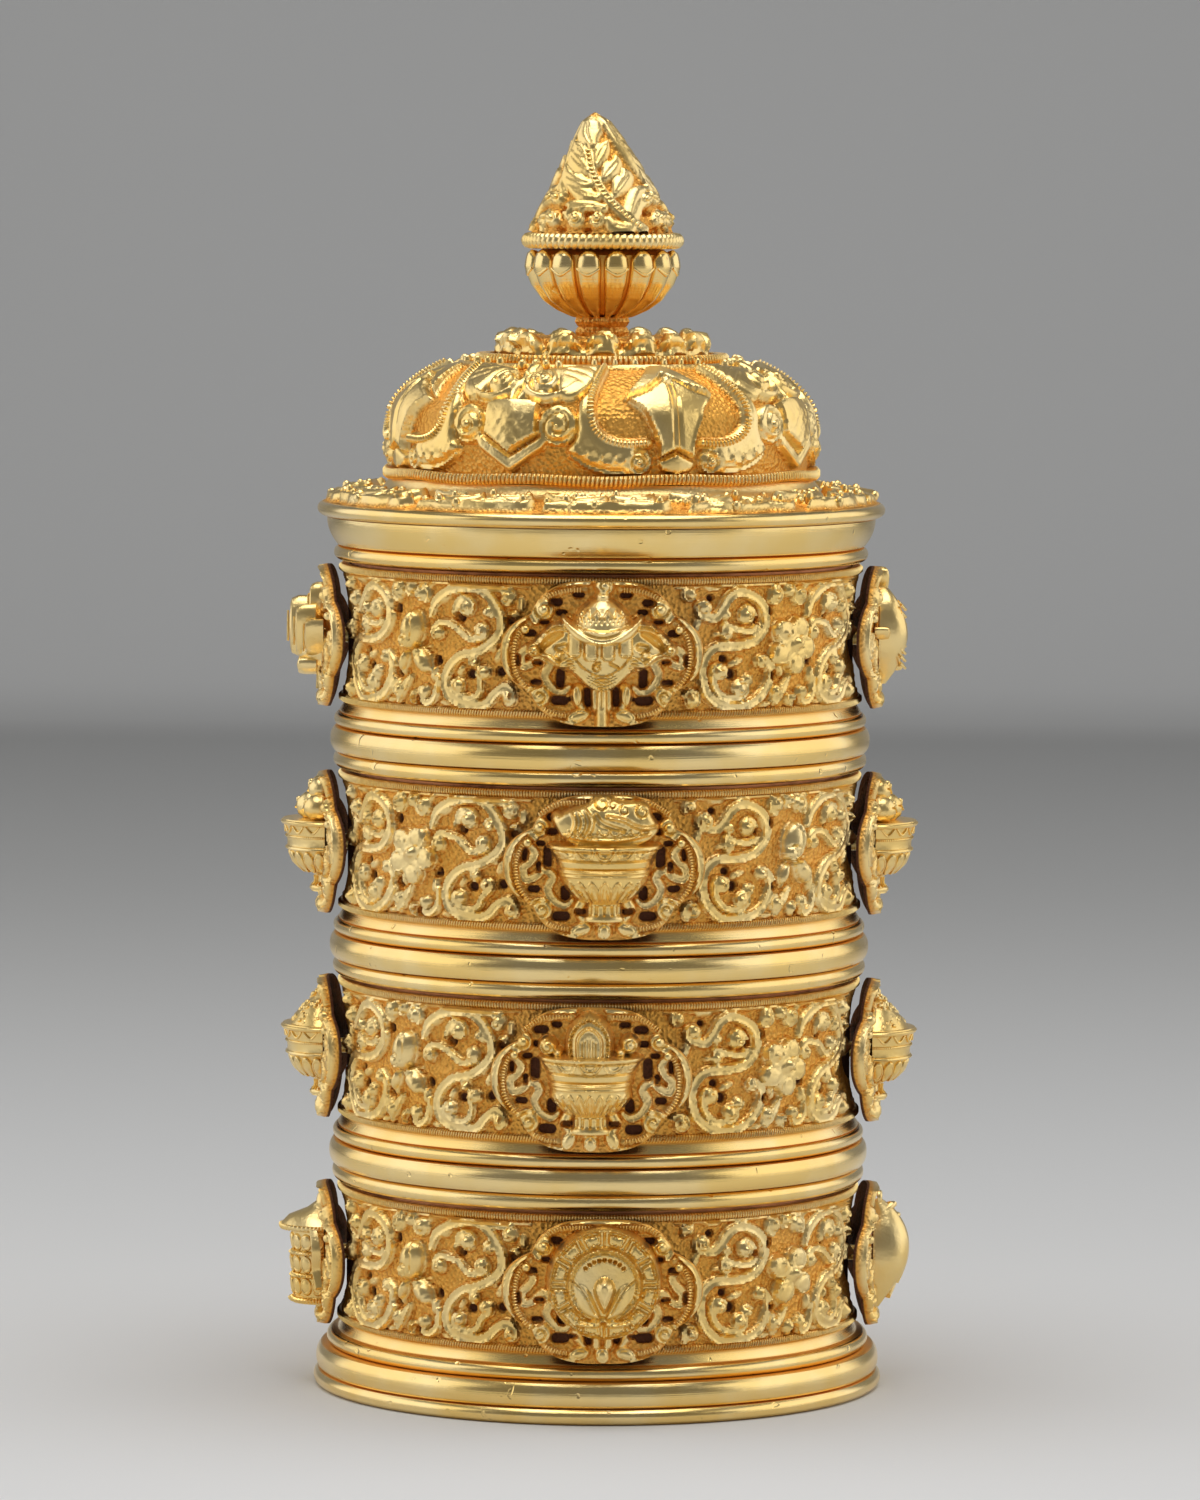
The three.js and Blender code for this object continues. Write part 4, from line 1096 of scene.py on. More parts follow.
def kite_leaf(work):
    work.plate(both_halves(ROOF), 0, lambda x, y: 1.75 - 0.09 * max(y - 12.8, 0), 0.35, 0.0, smooth=False)
    work.plate(both_halves(STAR), 0, lambda x, y: 2.0 - 0.1 * abs(x), 0.35, 0.12, 0.6, smooth=False)
    work.plate(both_halves(KITE_FOOT), 0, lambda x, y: 1.7 - 0.15 * abs(x), 0.35, 0.2, 0.6, smooth=False)
    work.line(even(STAR_RIM, 0.34), 0.3)
    work.line(even(EAVE, 0.42), 0.42)
    work.line([(0.42, 4.9, 0.26), (0.38, 10.0, 0.24), (0.42, 15.2, 0.3)], -0.35)
    work.line([(0.1, 14.4, 0.3), (0.9, 15.2, 0.3)], -0.4)


def box_leaf(work):
    work.plate(both_halves(BOX_RIM, BOX_AXIS), 1.35, None, 0.35, 0.1, 0.6, smooth=False)
    work.plate(
        both_halves(BOX_LEAF, BOX_AXIS), 0, lambda x, y: 2.15 - 0.1 * abs(x - BOX_AXIS), 0.35, 0.1, 0.6,
        smooth=False,
    )
    work.line([(BOX_AXIS, 1.9, 0.25), (BOX_AXIS - 4.9, 5.2, 0.25)], 0.22, smooth=False)
    for x, y in [
        (0, 9.9), (-1.9, 9.7), (-0.95, 8.7), (-2.8, 8.5), (0, 7.5), (-1.9, 7.3), (-0.95, 6.3), (0, 5.3),
    ]:
        work.line(scallop(BOX_AXIS + x, y, 0.85, 0, 0.18), 0.2)


def dome_work():
    """Half of the foliage between a kite and the box leaf beside it."""
    work = Chasing()
    work.ridge([(-1, 22.4, 0.6), (12, 22.2, 0.6), (27, 22.4, 0.6)], 0.7)
    work.plate(TAIL, 1.5)
    work.plate(WING, 1.55)
    work.ridge(even(FIELD_EDGE, 0.8), 1.45)
    work.line(TAIL_LIP, -0.5)
    for x, y, width, heading in [
        (14.1, 5.0, 1.05, 12), (12.2, 4.1, 1.05, 8), (10.2, 3.8, 1.0, 0), (8.4, 3.8, 0.8, 0),
    ]:
        work.line(scallop(x, y, width, heading, 0.24), 0.32)
        work.line(scallop(x + 0.9, y + 0.95, width * 0.8, heading, 0.18), 0.2)
    for vein in WING_VEINS:
        work.line(vein, -0.22)
    work.ridge(WING_LIP, 1.75)
    work.plate(both_halves(TIP_LEAF, BOX_AXIS), 1.5, smooth=False)
    work.ridge([(24.6, 12.0, 0.5), (24.2, 14.2, 1.0), (24.9, 16.6, 0.9), (24.2, 18.6, 0.4)], 1.2)
    for x, y, radius, rise, start in [
        (*VOLUTE, 1.75, 200), (*FOOT_VOLUTE, 1.6, 60), (*HIGH_VOLUTE, 1.95, 240),
    ]:
        work.plate(circle(x, y, radius), rise, None, 0.45, 0.3, radius, smooth=False)
        work.line(spiral(x, y, radius, start, 1.5, radius * 0.17), -0.6, smooth=False)
    box_leaf(work)
    kite_leaf(work)
    return work


def dome_trim(relief, side):
    """Milled edges, beads and small buds on the foliage: side is 1 or -1."""
    edge = [(side * x, y, 0.5) for x, y in FIELD_EDGE]
    teeth(relief, edge, 0.6, 0.62, 1.2, 0.7)
    beaded = [(HIGH_VOLUTE, side < 0, 0.75), (VOLUTE, side > 0, 0.75), (FOOT_VOLUTE, True, 0.4)]
    for (x, y, _), has_bead, size in beaded:
        relief.stamp("bead", side * x, y, 1.45, size if has_bead else size * 0.55)
    for x, y, size in (
        (20.8, 21.9, 1.0), (13.0, 22.9, 0.8), (3.6, 22.9, 0.8), (24.0, 22.3, 1.1), (8.2, 23.0, 0.7),
    ):
        relief.stamp("knob", side * x, y, 0.4, (size, size * 0.8, 1.1), side * 30)


def build_lid():
    placed = {"body": "lid", "seat": LID_SEAT}
    mesh = new_mesh()
    outline = [(WALL_BORE, 0)]
    for foot, top, low, high, bulge, power in LID_RIBS:
        outline += bulged(foot, top, low, high, bulge, power)
    wobbled(ring(mesh, [*outline, (WALL_BORE, 9.2)]), 0.07, 16.0, 31.0)
    finished("lid_turned_lip", mesh, BURNISHED, "lid_edge_moulding", **placed)

    mesh = new_mesh()
    build_shoulder(mesh)
    finished("lid_leafy_shoulder", mesh, MATT, "lid_shoulder", **placed)

    mesh = new_mesh()
    line = smooth_line(dome_line(), SKIN_STEP)
    inside = [(r - DOME_SHEET, z - (DOME_SHEET if z > CROWN_FOOT else 0.0)) for r, z in dome_line()]
    skin = Skin(line, DOME_REACH)
    outline = [*COVE_LINE, *skin.marked(), (ROD_BORE, DOME_TOP - 0.1), (ROD_BORE, 29.8), *reversed(inside)]
    ring(mesh, [*outline, (31.0, 10.9)], DOME_STEPS)
    work = dome_work().baked(-0.5, BOX_AXIS + 0.5, 0, 25)
    kite_place = DOME_REACH * math.radians(KITE_TURN)

    def height(x, y):
        place = (x - kite_place + SECTOR / 2) % SECTOR - SECTOR / 2
        bent = 0.25 * noise.noise((x * 0.12, y * 0.12, 3.1))
        return work(abs(place + bent), y + bent)

    chase(mesh, skin, height)
    for quarter in range(4):
        relief = Relief()
        dome_trim(relief, 1)
        dome_trim(relief, -1)
        joined(mesh, relief.wrapped(Skin(line, DOME_REACH, KITE_TURN + 90 * quarter)))
    finished("lid_chased_dome", mesh, MATT, "lid_dome", **placed)

    mesh = new_mesh()
    milled_wire(mesh, 13.0, 14.6, 32.0, 34.3, 300, 0.3, 0.12)
    for vert in mesh.verts:
        vert.co.z += 0.16 * math.sin(9 * math.atan2(vert.co.y, vert.co.x))
    finished("lid_lower_ticked_wire", mesh, MATT, "lid_lower_milled_wire", **placed)
    mesh = new_mesh()
    milled_wire(mesh, 30.8, 32.4, 17.6, 19.9, 150, 0.4)
    finished("lid_upper_ticked_wire", mesh, MATT, "lid_upper_milled_wire", **placed)
    build_crown_and_finial(placed)


SHOULDER_WAVES = [
    [(-8.6, 0.9, 0.4), (-5.6, 1.9, 1.0), (-2.4, 1.5, 1.3), (0.6, 1.9, 0.9), (2.4, 3.4, 0.3)],
    [(0.2, 0.7, 0.4), (3.0, 1.3, 1.1), (6.2, 2.3, 1.3), (9.2, 1.4, 0.8), (11.0, 2.2, 0.3)],
    [(-7.4, 4.6, 0.3), (-4.6, 4.0, 1.0), (-1.6, 4.6, 1.3), (0.6, 5.9, 0.8), (0.4, 7.2, 0.3)],
    [(2.2, 4.6, 0.4), (4.6, 4.3, 1.1), (7.6, 5.0, 1.2), (9.4, 6.4, 0.7), (9.0, 7.4, 0.3)],
    [(-9.6, 6.9, 0.4), (-7.0, 6.6, 0.9), (-4.4, 7.0, 0.7), (-2.8, 6.4, 0.3)],
]
SHOULDER_POINTS = [
    (-5.6, 3.1, 0.8), (5.2, 3.4, 0.8), (-1.0, 0.9, 0.7), (9.4, 3.4, 0.7), (2.6, 6.9, 0.7), (-8.6, 2.9, 0.6),
    (-4.2, 5.6, 0.6),
]
SHOULDER_COUNT = 12
SHOULDER_DRAWINGS = 4  # the waves are drawn this often, each time a little differently
SHOULDER_FADE = 0.7  # the leaves sink to nothing over this distance from the shoulder's edges


def shoulder_height(skin):
    """Curling leaves on the shoulder: x along the arc and y in from the rim."""
    jitter = random.Random(5)
    pitch = TURN * skin.reach / SHOULDER_COUNT
    works = []
    for i in range(SHOULDER_DRAWINGS):
        work = Chasing()
        for wave in SHOULDER_WAVES:
            body = [
                (
                    x + jitter.uniform(-0.6, 0.6), y + jitter.uniform(-0.3, 0.3),
                    w * jitter.uniform(1.15, 1.5),
                )
                for x, y, w in wave
            ]
            work.ridge(body, jitter.uniform(1.2, 1.7))
            work.line([(x, y, 0.35) for x, y, w in body[1:-1]], -0.5)
        works.append(work.baked(-18, 18, 0, 8.4, 0.25))

    def height(x, y):
        i = round(x / pitch)
        neighbour = i + (1 if x > i * pitch else -1)
        here, beside = works[i % SHOULDER_DRAWINGS], works[neighbour % SHOULDER_DRAWINGS]
        place = x - i * pitch
        edge = min(1.0, max(y, 0.0) / SHOULDER_FADE, max(skin.lengths[-1] - y, 0.0) / SHOULDER_FADE)
        return edge * max(here(place, y), beside(place - math.copysign(pitch, place), y))

    return height


def build_shoulder(mesh):
    line = smooth_line(SHOULDER_LINE, SKIN_STEP)
    skin = Skin(line, SHOULDER_REACH)
    ring(mesh, [(32.9, 9.2), *skin.marked(), (32.9, 10.9)], BAND_STEPS, relief=0.2)
    chase(mesh, skin, shoulder_height(skin), 0.12)
    jitter = random.Random(6)
    for i in range(SHOULDER_COUNT):
        relief = Relief()
        for x, y, size in SHOULDER_POINTS:
            high = size * jitter.uniform(0.9, 1.7)
            relief.stamp(
                "knob", x, y + jitter.uniform(-0.3, 0.3), 0.9, (size, size * 0.9, high),
                jitter.uniform(0, 90),
            )
        joined(mesh, relief.wrapped(Skin(SHOULDER_LINE, SHOULDER_REACH, 360 * i / SHOULDER_COUNT)))


CROWN_LINE = [
    (14.0, 31.0), (14.5, 31.8), (14.9, 32.8), (14.9, 33.8), (14.3, 34.6), (13.2, 34.9), (11.8, 34.7),
    (10.4, 34.0), (9.4, 33.2),
]
PETALS = 16


def crown_height(skin):
    """Rolled petals with folds, and small ones between their feet."""
    jitter = random.Random(12)
    pitch = TURN * skin.reach / PETALS
    works = []
    for i in range(PETALS):
        work = Chasing()
        wide, tall, lean = jitter.uniform(2.5, 3.0), jitter.uniform(4.6, 6.2), jitter.uniform(-0.7, 0.7)
        body = [(wide * 0.8, 0.6), (wide, 2.0), (wide * 0.85 + lean, tall * 0.75), (lean, tall)]
        body += [(-wide * 0.85 + lean, tall * 0.75), (-wide, 2.0), (-wide * 0.8, 0.6)]
        work.plate(body, 1.9, None, 0.6, 0.65, 2.4)
        side = jitter.choice((1, -1))
        roll = [
            (side * 2.2, 1.7, 0.4), (side * 1.0, 2.9, 0.8), (-side * 0.6, 3.6, 0.9),
            (-side * 2.0, 3.1, 0.4),
        ]
        work.ridge(roll, 2.2)
        for k in range(3):
            rise = 0.9 + 1.25 * k + jitter.uniform(-0.2, 0.2)
            fold = [
                (-side * wide, rise), (-side * 0.6, rise + 0.7), (side * 1.0, rise + 0.5),
                (side * wide, rise - 0.2),
            ]
            work.line([(x + lean * 0.5, y, 0.42) for x, y in fold], -0.5)
        work.plate(circle(pitch / 2, 1.5, 1.3, 1.1), 1.3, None, 0.5, 0.5, 1.0)
        work.plate(circle(-pitch / 2, 1.5, 1.3, 1.1), 1.3, None, 0.5, 0.5, 1.0)
        works.append(work)

    def height(x, y):
        i = round(x / pitch)
        return works[i % PETALS].height(x - i * pitch, y)

    return height


NECK_STEPS = 72
ROPE_REACH = 11.5
ROPE_HEIGHT = 49.95
ROPE_RADIUS = 1.25
ROPE_STEPS = 340
ROPE_LAYS = 68  # turns of the rope's strands
CUP_LOBES = 16
CUP_REACH = 12.4
CUP_SIDE = [
    (3.2, 38.1), (4.6, 38.6), (6.7, 39.9), (8.6, 41.5), (10.0, 43.7), (10.8, 46.0), (10.7, 47.8),
    (9.4, 48.6),
]
BUD_FOOT = 51.2
BUD_HEIGHT = 18.8
BUD_RADIUS = 11.0
BUD_ROWS = 76
BUD_STEPS = 300

# Leaves of a third of the bud, as the photo shows them: across from its middle and up from its foot.
BUD_STEM = [(6.2, 0.4), (3.2, 2.8), (1.0, 5.0), (-0.5, 7.3), (-1.4, 9.8), (-1.6, 13.2)]
BUD_LEAVES = [
    [(-1.0, 13.6, 0.7), (-1.4, 15.2, 1.5), (-1.0, 16.6, 1.2), (-0.8, 18.2, 0.3)],
    [(-0.5, 10.6, 0.4), (0.0, 11.8, 0.8), (0.8, 13.2, 0.6), (1.2, 13.9, 0.2)],
    [(0.4, 8.3, 0.4), (1.2, 9.4, 0.85), (2.2, 10.6, 0.7), (2.2, 11.6, 0.2)],
    [(1.9, 5.9, 0.4), (2.7, 7.2, 0.9), (3.6, 8.5, 0.8), (3.2, 9.6, 0.2)],
    [(4.4, 2.8, 0.9), (4.9, 4.4, 1.1), (5.6, 5.9, 1.0), (6.6, 6.5, 0.5)],
    [(-2.2, 12.0, 0.5), (-2.8, 12.8, 0.8), (-3.4, 14.0, 0.3)],
    [(-2.0, 9.6, 0.6), (-3.0, 10.4, 1.1), (-3.8, 11.6, 0.9), (-3.8, 12.8, 0.2)],
    [(-2.0, 7.4, 0.6), (-3.4, 7.6, 1.0), (-4.8, 8.4, 1.0), (-5.0, 10.2, 0.3)],
    [(-0.8, 5.4, 0.4), (-2.4, 5.7, 0.8), (-4.0, 6.3, 0.6), (-5.0, 7.0, 0.2)],
    [(0.2, 3.7, 0.4), (-2.2, 4.0, 0.6), (-4.4, 3.8, 0.8), (-5.2, 2.8, 0.6)],
    [(-6.0, 7.8, 0.4), (-6.4, 6.4, 0.8), (-7.4, 5.6, 0.8), (-8.2, 6.2, 0.3)],
    [
        (-9.6, 0.8, 0.6), (-9.4, 2.4, 0.7), (-8.6, 4.0, 0.5), (-7.4, 7.2, 0.35), (-5.6, 10.6, 0.3),
        (-3.4, 14.6, 0.25),
    ],
    [
        (9.6, 3.6, 0.4), (7.8, 6.8, 0.5), (5.4, 10.0, 0.5), (3.2, 13.2, 0.5), (1.2, 17.0, 0.4),
        (0.2, 18.8, 0.3),
    ],
    [(8.0, 8.0, 0.3), (6.4, 9.2, 0.5), (4.6, 11.6, 0.5), (3.4, 13.8, 0.3)],
    [(4.2, 0.5, 0.5), (1.9, 0.9, 0.7), (0.9, 1.8, 0.5)],
]
BUD_COILS = [
    (-4.1, 2.1, 1.4), (-0.9, 2.1, 1.35), (6.4, 5.2, 1.25), (8.6, 2.3, 1.3), (-6.9, 5.4, 1.2),
    (-7.7, 2.2, 1.35), (10.6, 2.4, 1.1),
]
BUD_PITS = [(-6.4, 0.6), (-2.4, 0.6), (6.6, 3.2), (-5.9, 3.6), (-2.0, 3.0), (8.0, 0.5)]


def bud_radius(height):
    return BUD_RADIUS * max(1 - height / BUD_HEIGHT, 0.0) ** 0.86


def bud_height(skin):
    work = Chasing()
    for leaf in BUD_LEAVES:
        work.add("ridge", smooth_line([(x, y, w * 1.55 + 0.1) for x, y, w in leaf], 0.35), 1.8, 0.95)
        work.line([(x, y, 0.24) for x, y, w in leaf[:-1]], -0.16)
    for x, y, radius in BUD_COILS:
        work.plate(circle(x, y, radius), 1.15, None, 0.4, 0.35, radius, smooth=False)
        work.line(spiral(x, y, radius, 40, 1.1, radius * 0.15), -0.4, smooth=False)
    work.ridge(even(BUD_STEM, 0.85), 0.95)
    work.line(even(BUD_STEM, 0.42), -0.4)
    for x, y in BUD_PITS:
        work.line([(x - 0.3, y, 0.6), (x + 0.3, y, 0.6)], -1.2)
    work = work.baked(-11.5, 11.5, 0, 19)

    def height(x, y):
        angle = x / skin.reach
        point = skin(x, y, 0)
        off = angle - round(angle / (TURN / 3)) * TURN / 3
        across = math.hypot(point.x, point.y) * math.sin(off)
        high = point.z - BUD_FOOT
        return work(across, high) * min(1.0, (BUD_HEIGHT - high) / 2.0)

    return height


def build_bud(mesh):
    heights = [BUD_HEIGHT * i / BUD_ROWS for i in range(BUD_ROWS)]
    line = [(bud_radius(height), BUD_FOOT + height) for height in heights]
    line.append((0.0, BUD_FOOT + BUD_HEIGHT))
    skin = Skin(line, BUD_RADIUS)
    ring(mesh, [(0, BUD_FOOT), *skin.marked()[:-1], (0, BUD_FOOT + BUD_HEIGHT)], BUD_STEPS, closed=False)
    chase(mesh, skin, bud_height(skin), 0.06)
    for third in range(3):
        relief = Relief()
        for (x, y, _), heading in spots_along(even(BUD_STEM, 0), 0.72):
            relief.stamp("tooth", x, y, 0.5, (0.26, 0.5, 0.5), heading)
        for x, y, radius in BUD_COILS:
            relief.stamp("bead", x, y, 0.9, radius * 0.4)

        def place(x, y, z):
            radius = max(bud_radius(y), 0.3)
            angle = math.asin(max(-0.98, min(0.98, x / radius))) + third * TURN / 3
            reach = radius + z * 0.92
            return Vector((reach * math.sin(angle), -reach * math.cos(angle), BUD_FOOT + y + z * 0.35))

        joined(mesh, relief.wrapped(place))
    for vert in mesh.verts:
        vert.co.x -= 1.3 * max(0.0, (vert.co.z - 56.0) / 14.0) ** 1.4


def build_crown_and_finial(placed):
    mesh = new_mesh()
    line = smooth_line(CROWN_LINE, SKIN_STEP)
    skin = Skin(line, 14.9)
    ring(mesh, [(ROD_BORE, DOME_TOP), *skin.marked(), (7.0, 33.2), (ROD_BORE, 33.4)], 384, relief=0.1)
    chase(mesh, skin, crown_height(skin), 0.15)
    finished("lotus_crown_petals", mesh, MATT, "lotus_crown", **placed)

    mesh = new_mesh()
    neck = [
        (ROD_BORE, 35.0), (4.0, 35.0), (4.25, 35.7), (3.9, 36.4), (3.7, 36.5), (3.9, 36.6), (4.3, 37.3),
        (4.0, 38.1), (ROD_BORE, 38.1),
    ]
    for vert in ring(mesh, neck, NECK_STEPS, relief=0.15):
        radius = math.hypot(vert.co.x, vert.co.y)
        step = round(math.atan2(vert.co.y, vert.co.x) / TURN * NECK_STEPS)
        if radius > 3.85 and step % 2:
            vert.co.x *= 0.96
            vert.co.y *= 0.96
    finished("finial_beaded_neck", mesh, MATT, "finial_neck", **placed)

    mesh = new_mesh()
    # The cup's side gets a low relief, which paints it with shade between the lobes.
    ring(
        mesh,
        [(0, 43.4), (ROD_BORE, 43.4), (ROD_BORE, 38.1), *[(r, z, -0.1) for r, z in CUP_SIDE], (0, 48.7)],
        96, closed=False,
    )
    relief = Relief()
    skin = Skin(CUP_SIDE, CUP_REACH, shrink=0.75)
    top = skin.lengths[-1]
    for i in range(CUP_LOBES):
        x = (i + 0.5) * TURN * CUP_REACH / CUP_LOBES
        lobe = [
            (x, 0.5, 0, 1.5), (x, 4, 0, 2.0), (x, 8, 0, 2.2), (x, top - 4.4, 0, 2.3),
            (x, top - 2.8, 0, 2.3),
        ]
        lobe += [(x, top - 1.9, 0, 2.05), (x, top - 1.3, 0, 1.5), (x, top - 1.05, 0, 0.7)]
        relief.stroke("lobe", smooth_line(lobe, 0.5))
        lip = [(x - 1.9, top - 3.5, 1.1, 0.2), (x, top - 4.3, 1.75, 0.28), (x + 1.9, top - 3.5, 1.1, 0.2)]
        relief.stroke("wire", smooth_line(lip, 0.4))
    joined(mesh, relief.wrapped(skin))
    finished("finial_lobed_cup", mesh, BURNISHED, "finial_cup", **placed)

    mesh = new_mesh()
    tube = circle(ROPE_REACH, ROPE_HEIGHT, ROPE_RADIUS, steps=12)
    for vert in ring(mesh, tube, ROPE_STEPS, relief=1.0):
        around = math.atan2(vert.co.y, vert.co.x)
        radius = math.hypot(vert.co.x, vert.co.y)
        lean = math.atan2(vert.co.z - ROPE_HEIGHT, radius - ROPE_REACH)
        reach = 1.12 + 0.16 * abs(math.cos((ROPE_LAYS * around - lean) / 2)) ** 0.7 * 2 - 0.16
        radius = ROPE_REACH + reach * math.cos(lean)
        vert.co = (
            radius * math.cos(around), radius * math.sin(around), ROPE_HEIGHT + reach * math.sin(lean),
        )
    ring(mesh, [(0, 49.0), (11.0, 49.0), (11.0, 51.0), (0, 51.0)], 64, relief=0.1, closed=False)
    finished("finial_twisted_ring", mesh, MATT, "finial_rope_ring", **placed)

    mesh = new_mesh()
    build_bud(mesh)
    finished("finial_leafy_bud", mesh, MATT, "finial_bud", **placed)

    mesh = new_mesh()
    thread = [(0, 25.2)]
    for i in range(22):
        thread += [(1.35, 25.3 + i * 0.5), (1.6, 25.55 + i * 0.5)]
    ring(mesh, [*thread, (1.6, 43.1), (0, 43.1)], 32, closed=False)
    finished("finial_threaded_rod", mesh, BARE, "finial_rod", **placed)
    mesh = new_mesh()
    ring(mesh, [(ROD_BORE, 29.0), (4.8, 29.0), (5.0, 29.2), (5.0, 29.6), (4.8, 29.8), (ROD_BORE, 29.8)], 64)
    finished("finial_round_washer", mesh, BARE, "finial_washer", **placed)
    mesh = new_mesh()
    ring(mesh, [(ROD_BORE, 26.4), (3.1, 26.4), (3.4, 26.7), (3.4, 28.7), (3.1, 29.0), (ROD_BORE, 29.0)], 6)
    finished("finial_hex_nut", mesh, BARE, "finial_nut", sharp=25.0, **placed)


def either_side(points):
    """The same points on the right and mirrored on the left."""
    return [points, [(-point[0], *point[1:]) for point in points]]


# A medallion's right half, in order of the tiers from the base up where the cast differs.
FRAME_TOPS = [
    [(0.1, 11.0), (4.4, 11.1), (7.4, 10.7), (9.8, 9.4), (10.8, 7.2), (9.9, 5.2)],
    [(2.6, 10.8), (5.6, 10.8), (8.1, 10.4), (11.2, 8.8), (12.2, 6.4), (11.2, 4.4)],
    [(0, 11.0), (4.6, 11.1), (8.8, 10.6), (11.3, 8.8), (12.0, 6.4), (10.6, 4.5)],
    [(2.2, 11.0), (5.0, 10.9), (7.6, 10.3), (10.1, 8.8), (10.9, 6.8), (10.0, 5.0)],
]
TOP_SPIRALS = [(9.1, 6.8, 1.6), (10.4, 5.7, 1.6), (9.9, 6.0, 1.6), (8.9, 6.6, 1.7)]
TOP_MILLED = [
    [(1.2, 9.8), (4.4, 9.9), (7.0, 9.5), (8.8, 8.4)],
    [(2.9, 9.6), (5.6, 9.6), (8.0, 9.1), (10.4, 7.4)],
    [(0, 9.8), (4.6, 9.9), (7.6, 9.4), (9.9, 7.9)],
    [(2.8, 9.7), (5.0, 9.6), (7.2, 9.1), (8.8, 8.2)],
]
FRAME_SIDE = [(11.9, 5.5), (13.9, 3.4), (14.75, 0.1), (14.2, -3.6), (11.7, -6.7)]
SIDE_MILLED = [(11.1, 4.5), (12.7, 2.9), (13.5, 0.1), (13.0, -3.2), (10.8, -5.8)]
FRAME_FOOT = [(4.7, -10.8), (7.4, -10.4), (9.8, -9.3), (11.3, -7.6), (10.9, -5.6), (9.4, -5.0)]
FOOT_MILLED = [(5.0, -9.5), (7.0, -9.2), (8.6, -8.5)]
FOOT_SPIRAL = (9.6, -6.6, 1.75)
SCARF = [
    (11.7, 3.4), (10.6, 2.0), (11.3, 0.7), (12.3, -0.4), (12.0, -2.0), (10.4, -1.5), (9.2, -0.4),
    (7.9, -1.5), (8.6, -3.4), (7.6, -5.2), (6.0, -5.9), (4.9, -5.0),
]
BOWL_HOLES = [
    (7.9, 5.4, 0.9, 0.9), (8.6, 1.5, 0.8, 1.4), (10.6, -3.4, 0.9, 0.9), (10.0, -0.1, 0.5, 0.6),
    (9.7, 3.5, 0.7, 0.6), (5.9, -4.0, 0.8, 0.9), (3.6, -6.8, 0.9, 0.9), (6.6, -7.6, 1.3, 0.6),
    (7.6, 7.6, 1.1, 0.6), (5.2, 8.4, 0.8, 0.5), (12.1, 1.7, 0.45, 0.8),
]
SHADE_HOLES = [
    (7.1, 7.7, 1.0, 0.65), (6.1, 6.2, 0.8, 0.7), (10.9, 3.0, 0.9, 0.7), (8.6, 4.8, 0.7, 0.5),
    (3.6, 8.9, 0.9, 0.4), (9.7, -1.4, 0.7, 0.6), (9.9, -4.5, 0.9, 0.6), (6.3, -3.8, 0.7, 1.2),
    (6.4, -7.2, 1.3, 0.6), (2.1, -6.6, 0.65, 1.3), (12.8, -1.2, 0.45, 0.8), (4.5, -6.9, 0.6, 0.6),
]
GROUND = 0.7  # thickness of the cast round a symbol
FIGURE_EDGE = 0.05  # a chased symbol takes over from the ground where it is higher than this


def medallion_work(index):
    """The ribbons, scarves, lotus foot and holes of a medallion's right half."""
    work = Chasing()
    for points in (FRAME_TOPS[index], FRAME_SIDE, FRAME_FOOT):
        work.add("band", smooth_line(even(points, 0.68), 0.4), 0.7, 1.35, 0.35)
    for points in (TOP_MILLED[index], SIDE_MILLED, FOOT_MILLED):
        work.ridge(even(points, 0.62), 0.42)
    widths = [0.5, 0.75, 0.8, 0.8, 0.8, 0.75, 0.75, 0.8, 0.8, 0.75, 0.65, 0.4]
    scarf = [(x, y, w) for (x, y), w in zip(SCARF, widths)][2 if index == 3 else 0:]
    work.add("band", smooth_line(scarf, 0.35), 0.8, 1.0, 0.35)
    work.line([(x, y, 0.16) for x, y, _ in scarf], 0.2)
    for (x, y, radius), rise in ((TOP_SPIRALS[index], 1.35), (FOOT_SPIRAL, 1.2)):
        work.plate(circle(x, y, radius), rise, None, 0.4, 0.3, radius, smooth=False)
        work.line(spiral(x, y, radius, 80, -1.2, 0.26), -0.55, smooth=False)
    if index == 1:
        petals = [(3.3, -9.2, 1.15, 1.6, 0.35), (0, -9.7, 1.15, 1.4, 0)]
    else:
        petals = [(3.6, -9.5, 1.7, 1.15, 0.5), (0, -9.7, 1.2, 1.4, 0)]
    for x, y, wide, tall, lean in petals:
        leaf = [
            (x + wide * math.cos(a) - lean * math.sin(a), y + tall * math.sin(a))
            for a in (TURN * i / 12 for i in range(12))
        ]
        work.plate(leaf, 1.5, None, 0.35, 0.3, 1.2)
        work.line([(px * 0.62 + x * 0.38, py * 0.62 + y * 0.38, 0.16) for px, py in closed(leaf)], -0.22)
    work.ridge([(1.0, -5.4, 0.6), (0.9, -8.2, 0.7)], 1.1)
    work.ridge([(3.4, -5.2, 0.8), (3.9, -6.6, 0.9), (2.9, -8.2, 0.6)], 1.0)
    for x, y, wide, tall in (BOWL_HOLES if index in (1, 2) else SHADE_HOLES):
        reach = max(wide, tall)
        pit = [(x - (wide - reach * 0.5), y, reach * 0.62), (x + (wide - reach * 0.5), y, reach * 0.62)]
        if tall > wide:
            pit = [(x, y - (tall - wide * 0.5), wide), (x, y + (tall - wide * 0.5), wide)]
        work.add("pit", pit, reach, 0.62)
    return work


medallion_grounds = [medallion_work(i).baked(-0.5, 16, -12, 12) for i in range(4)]


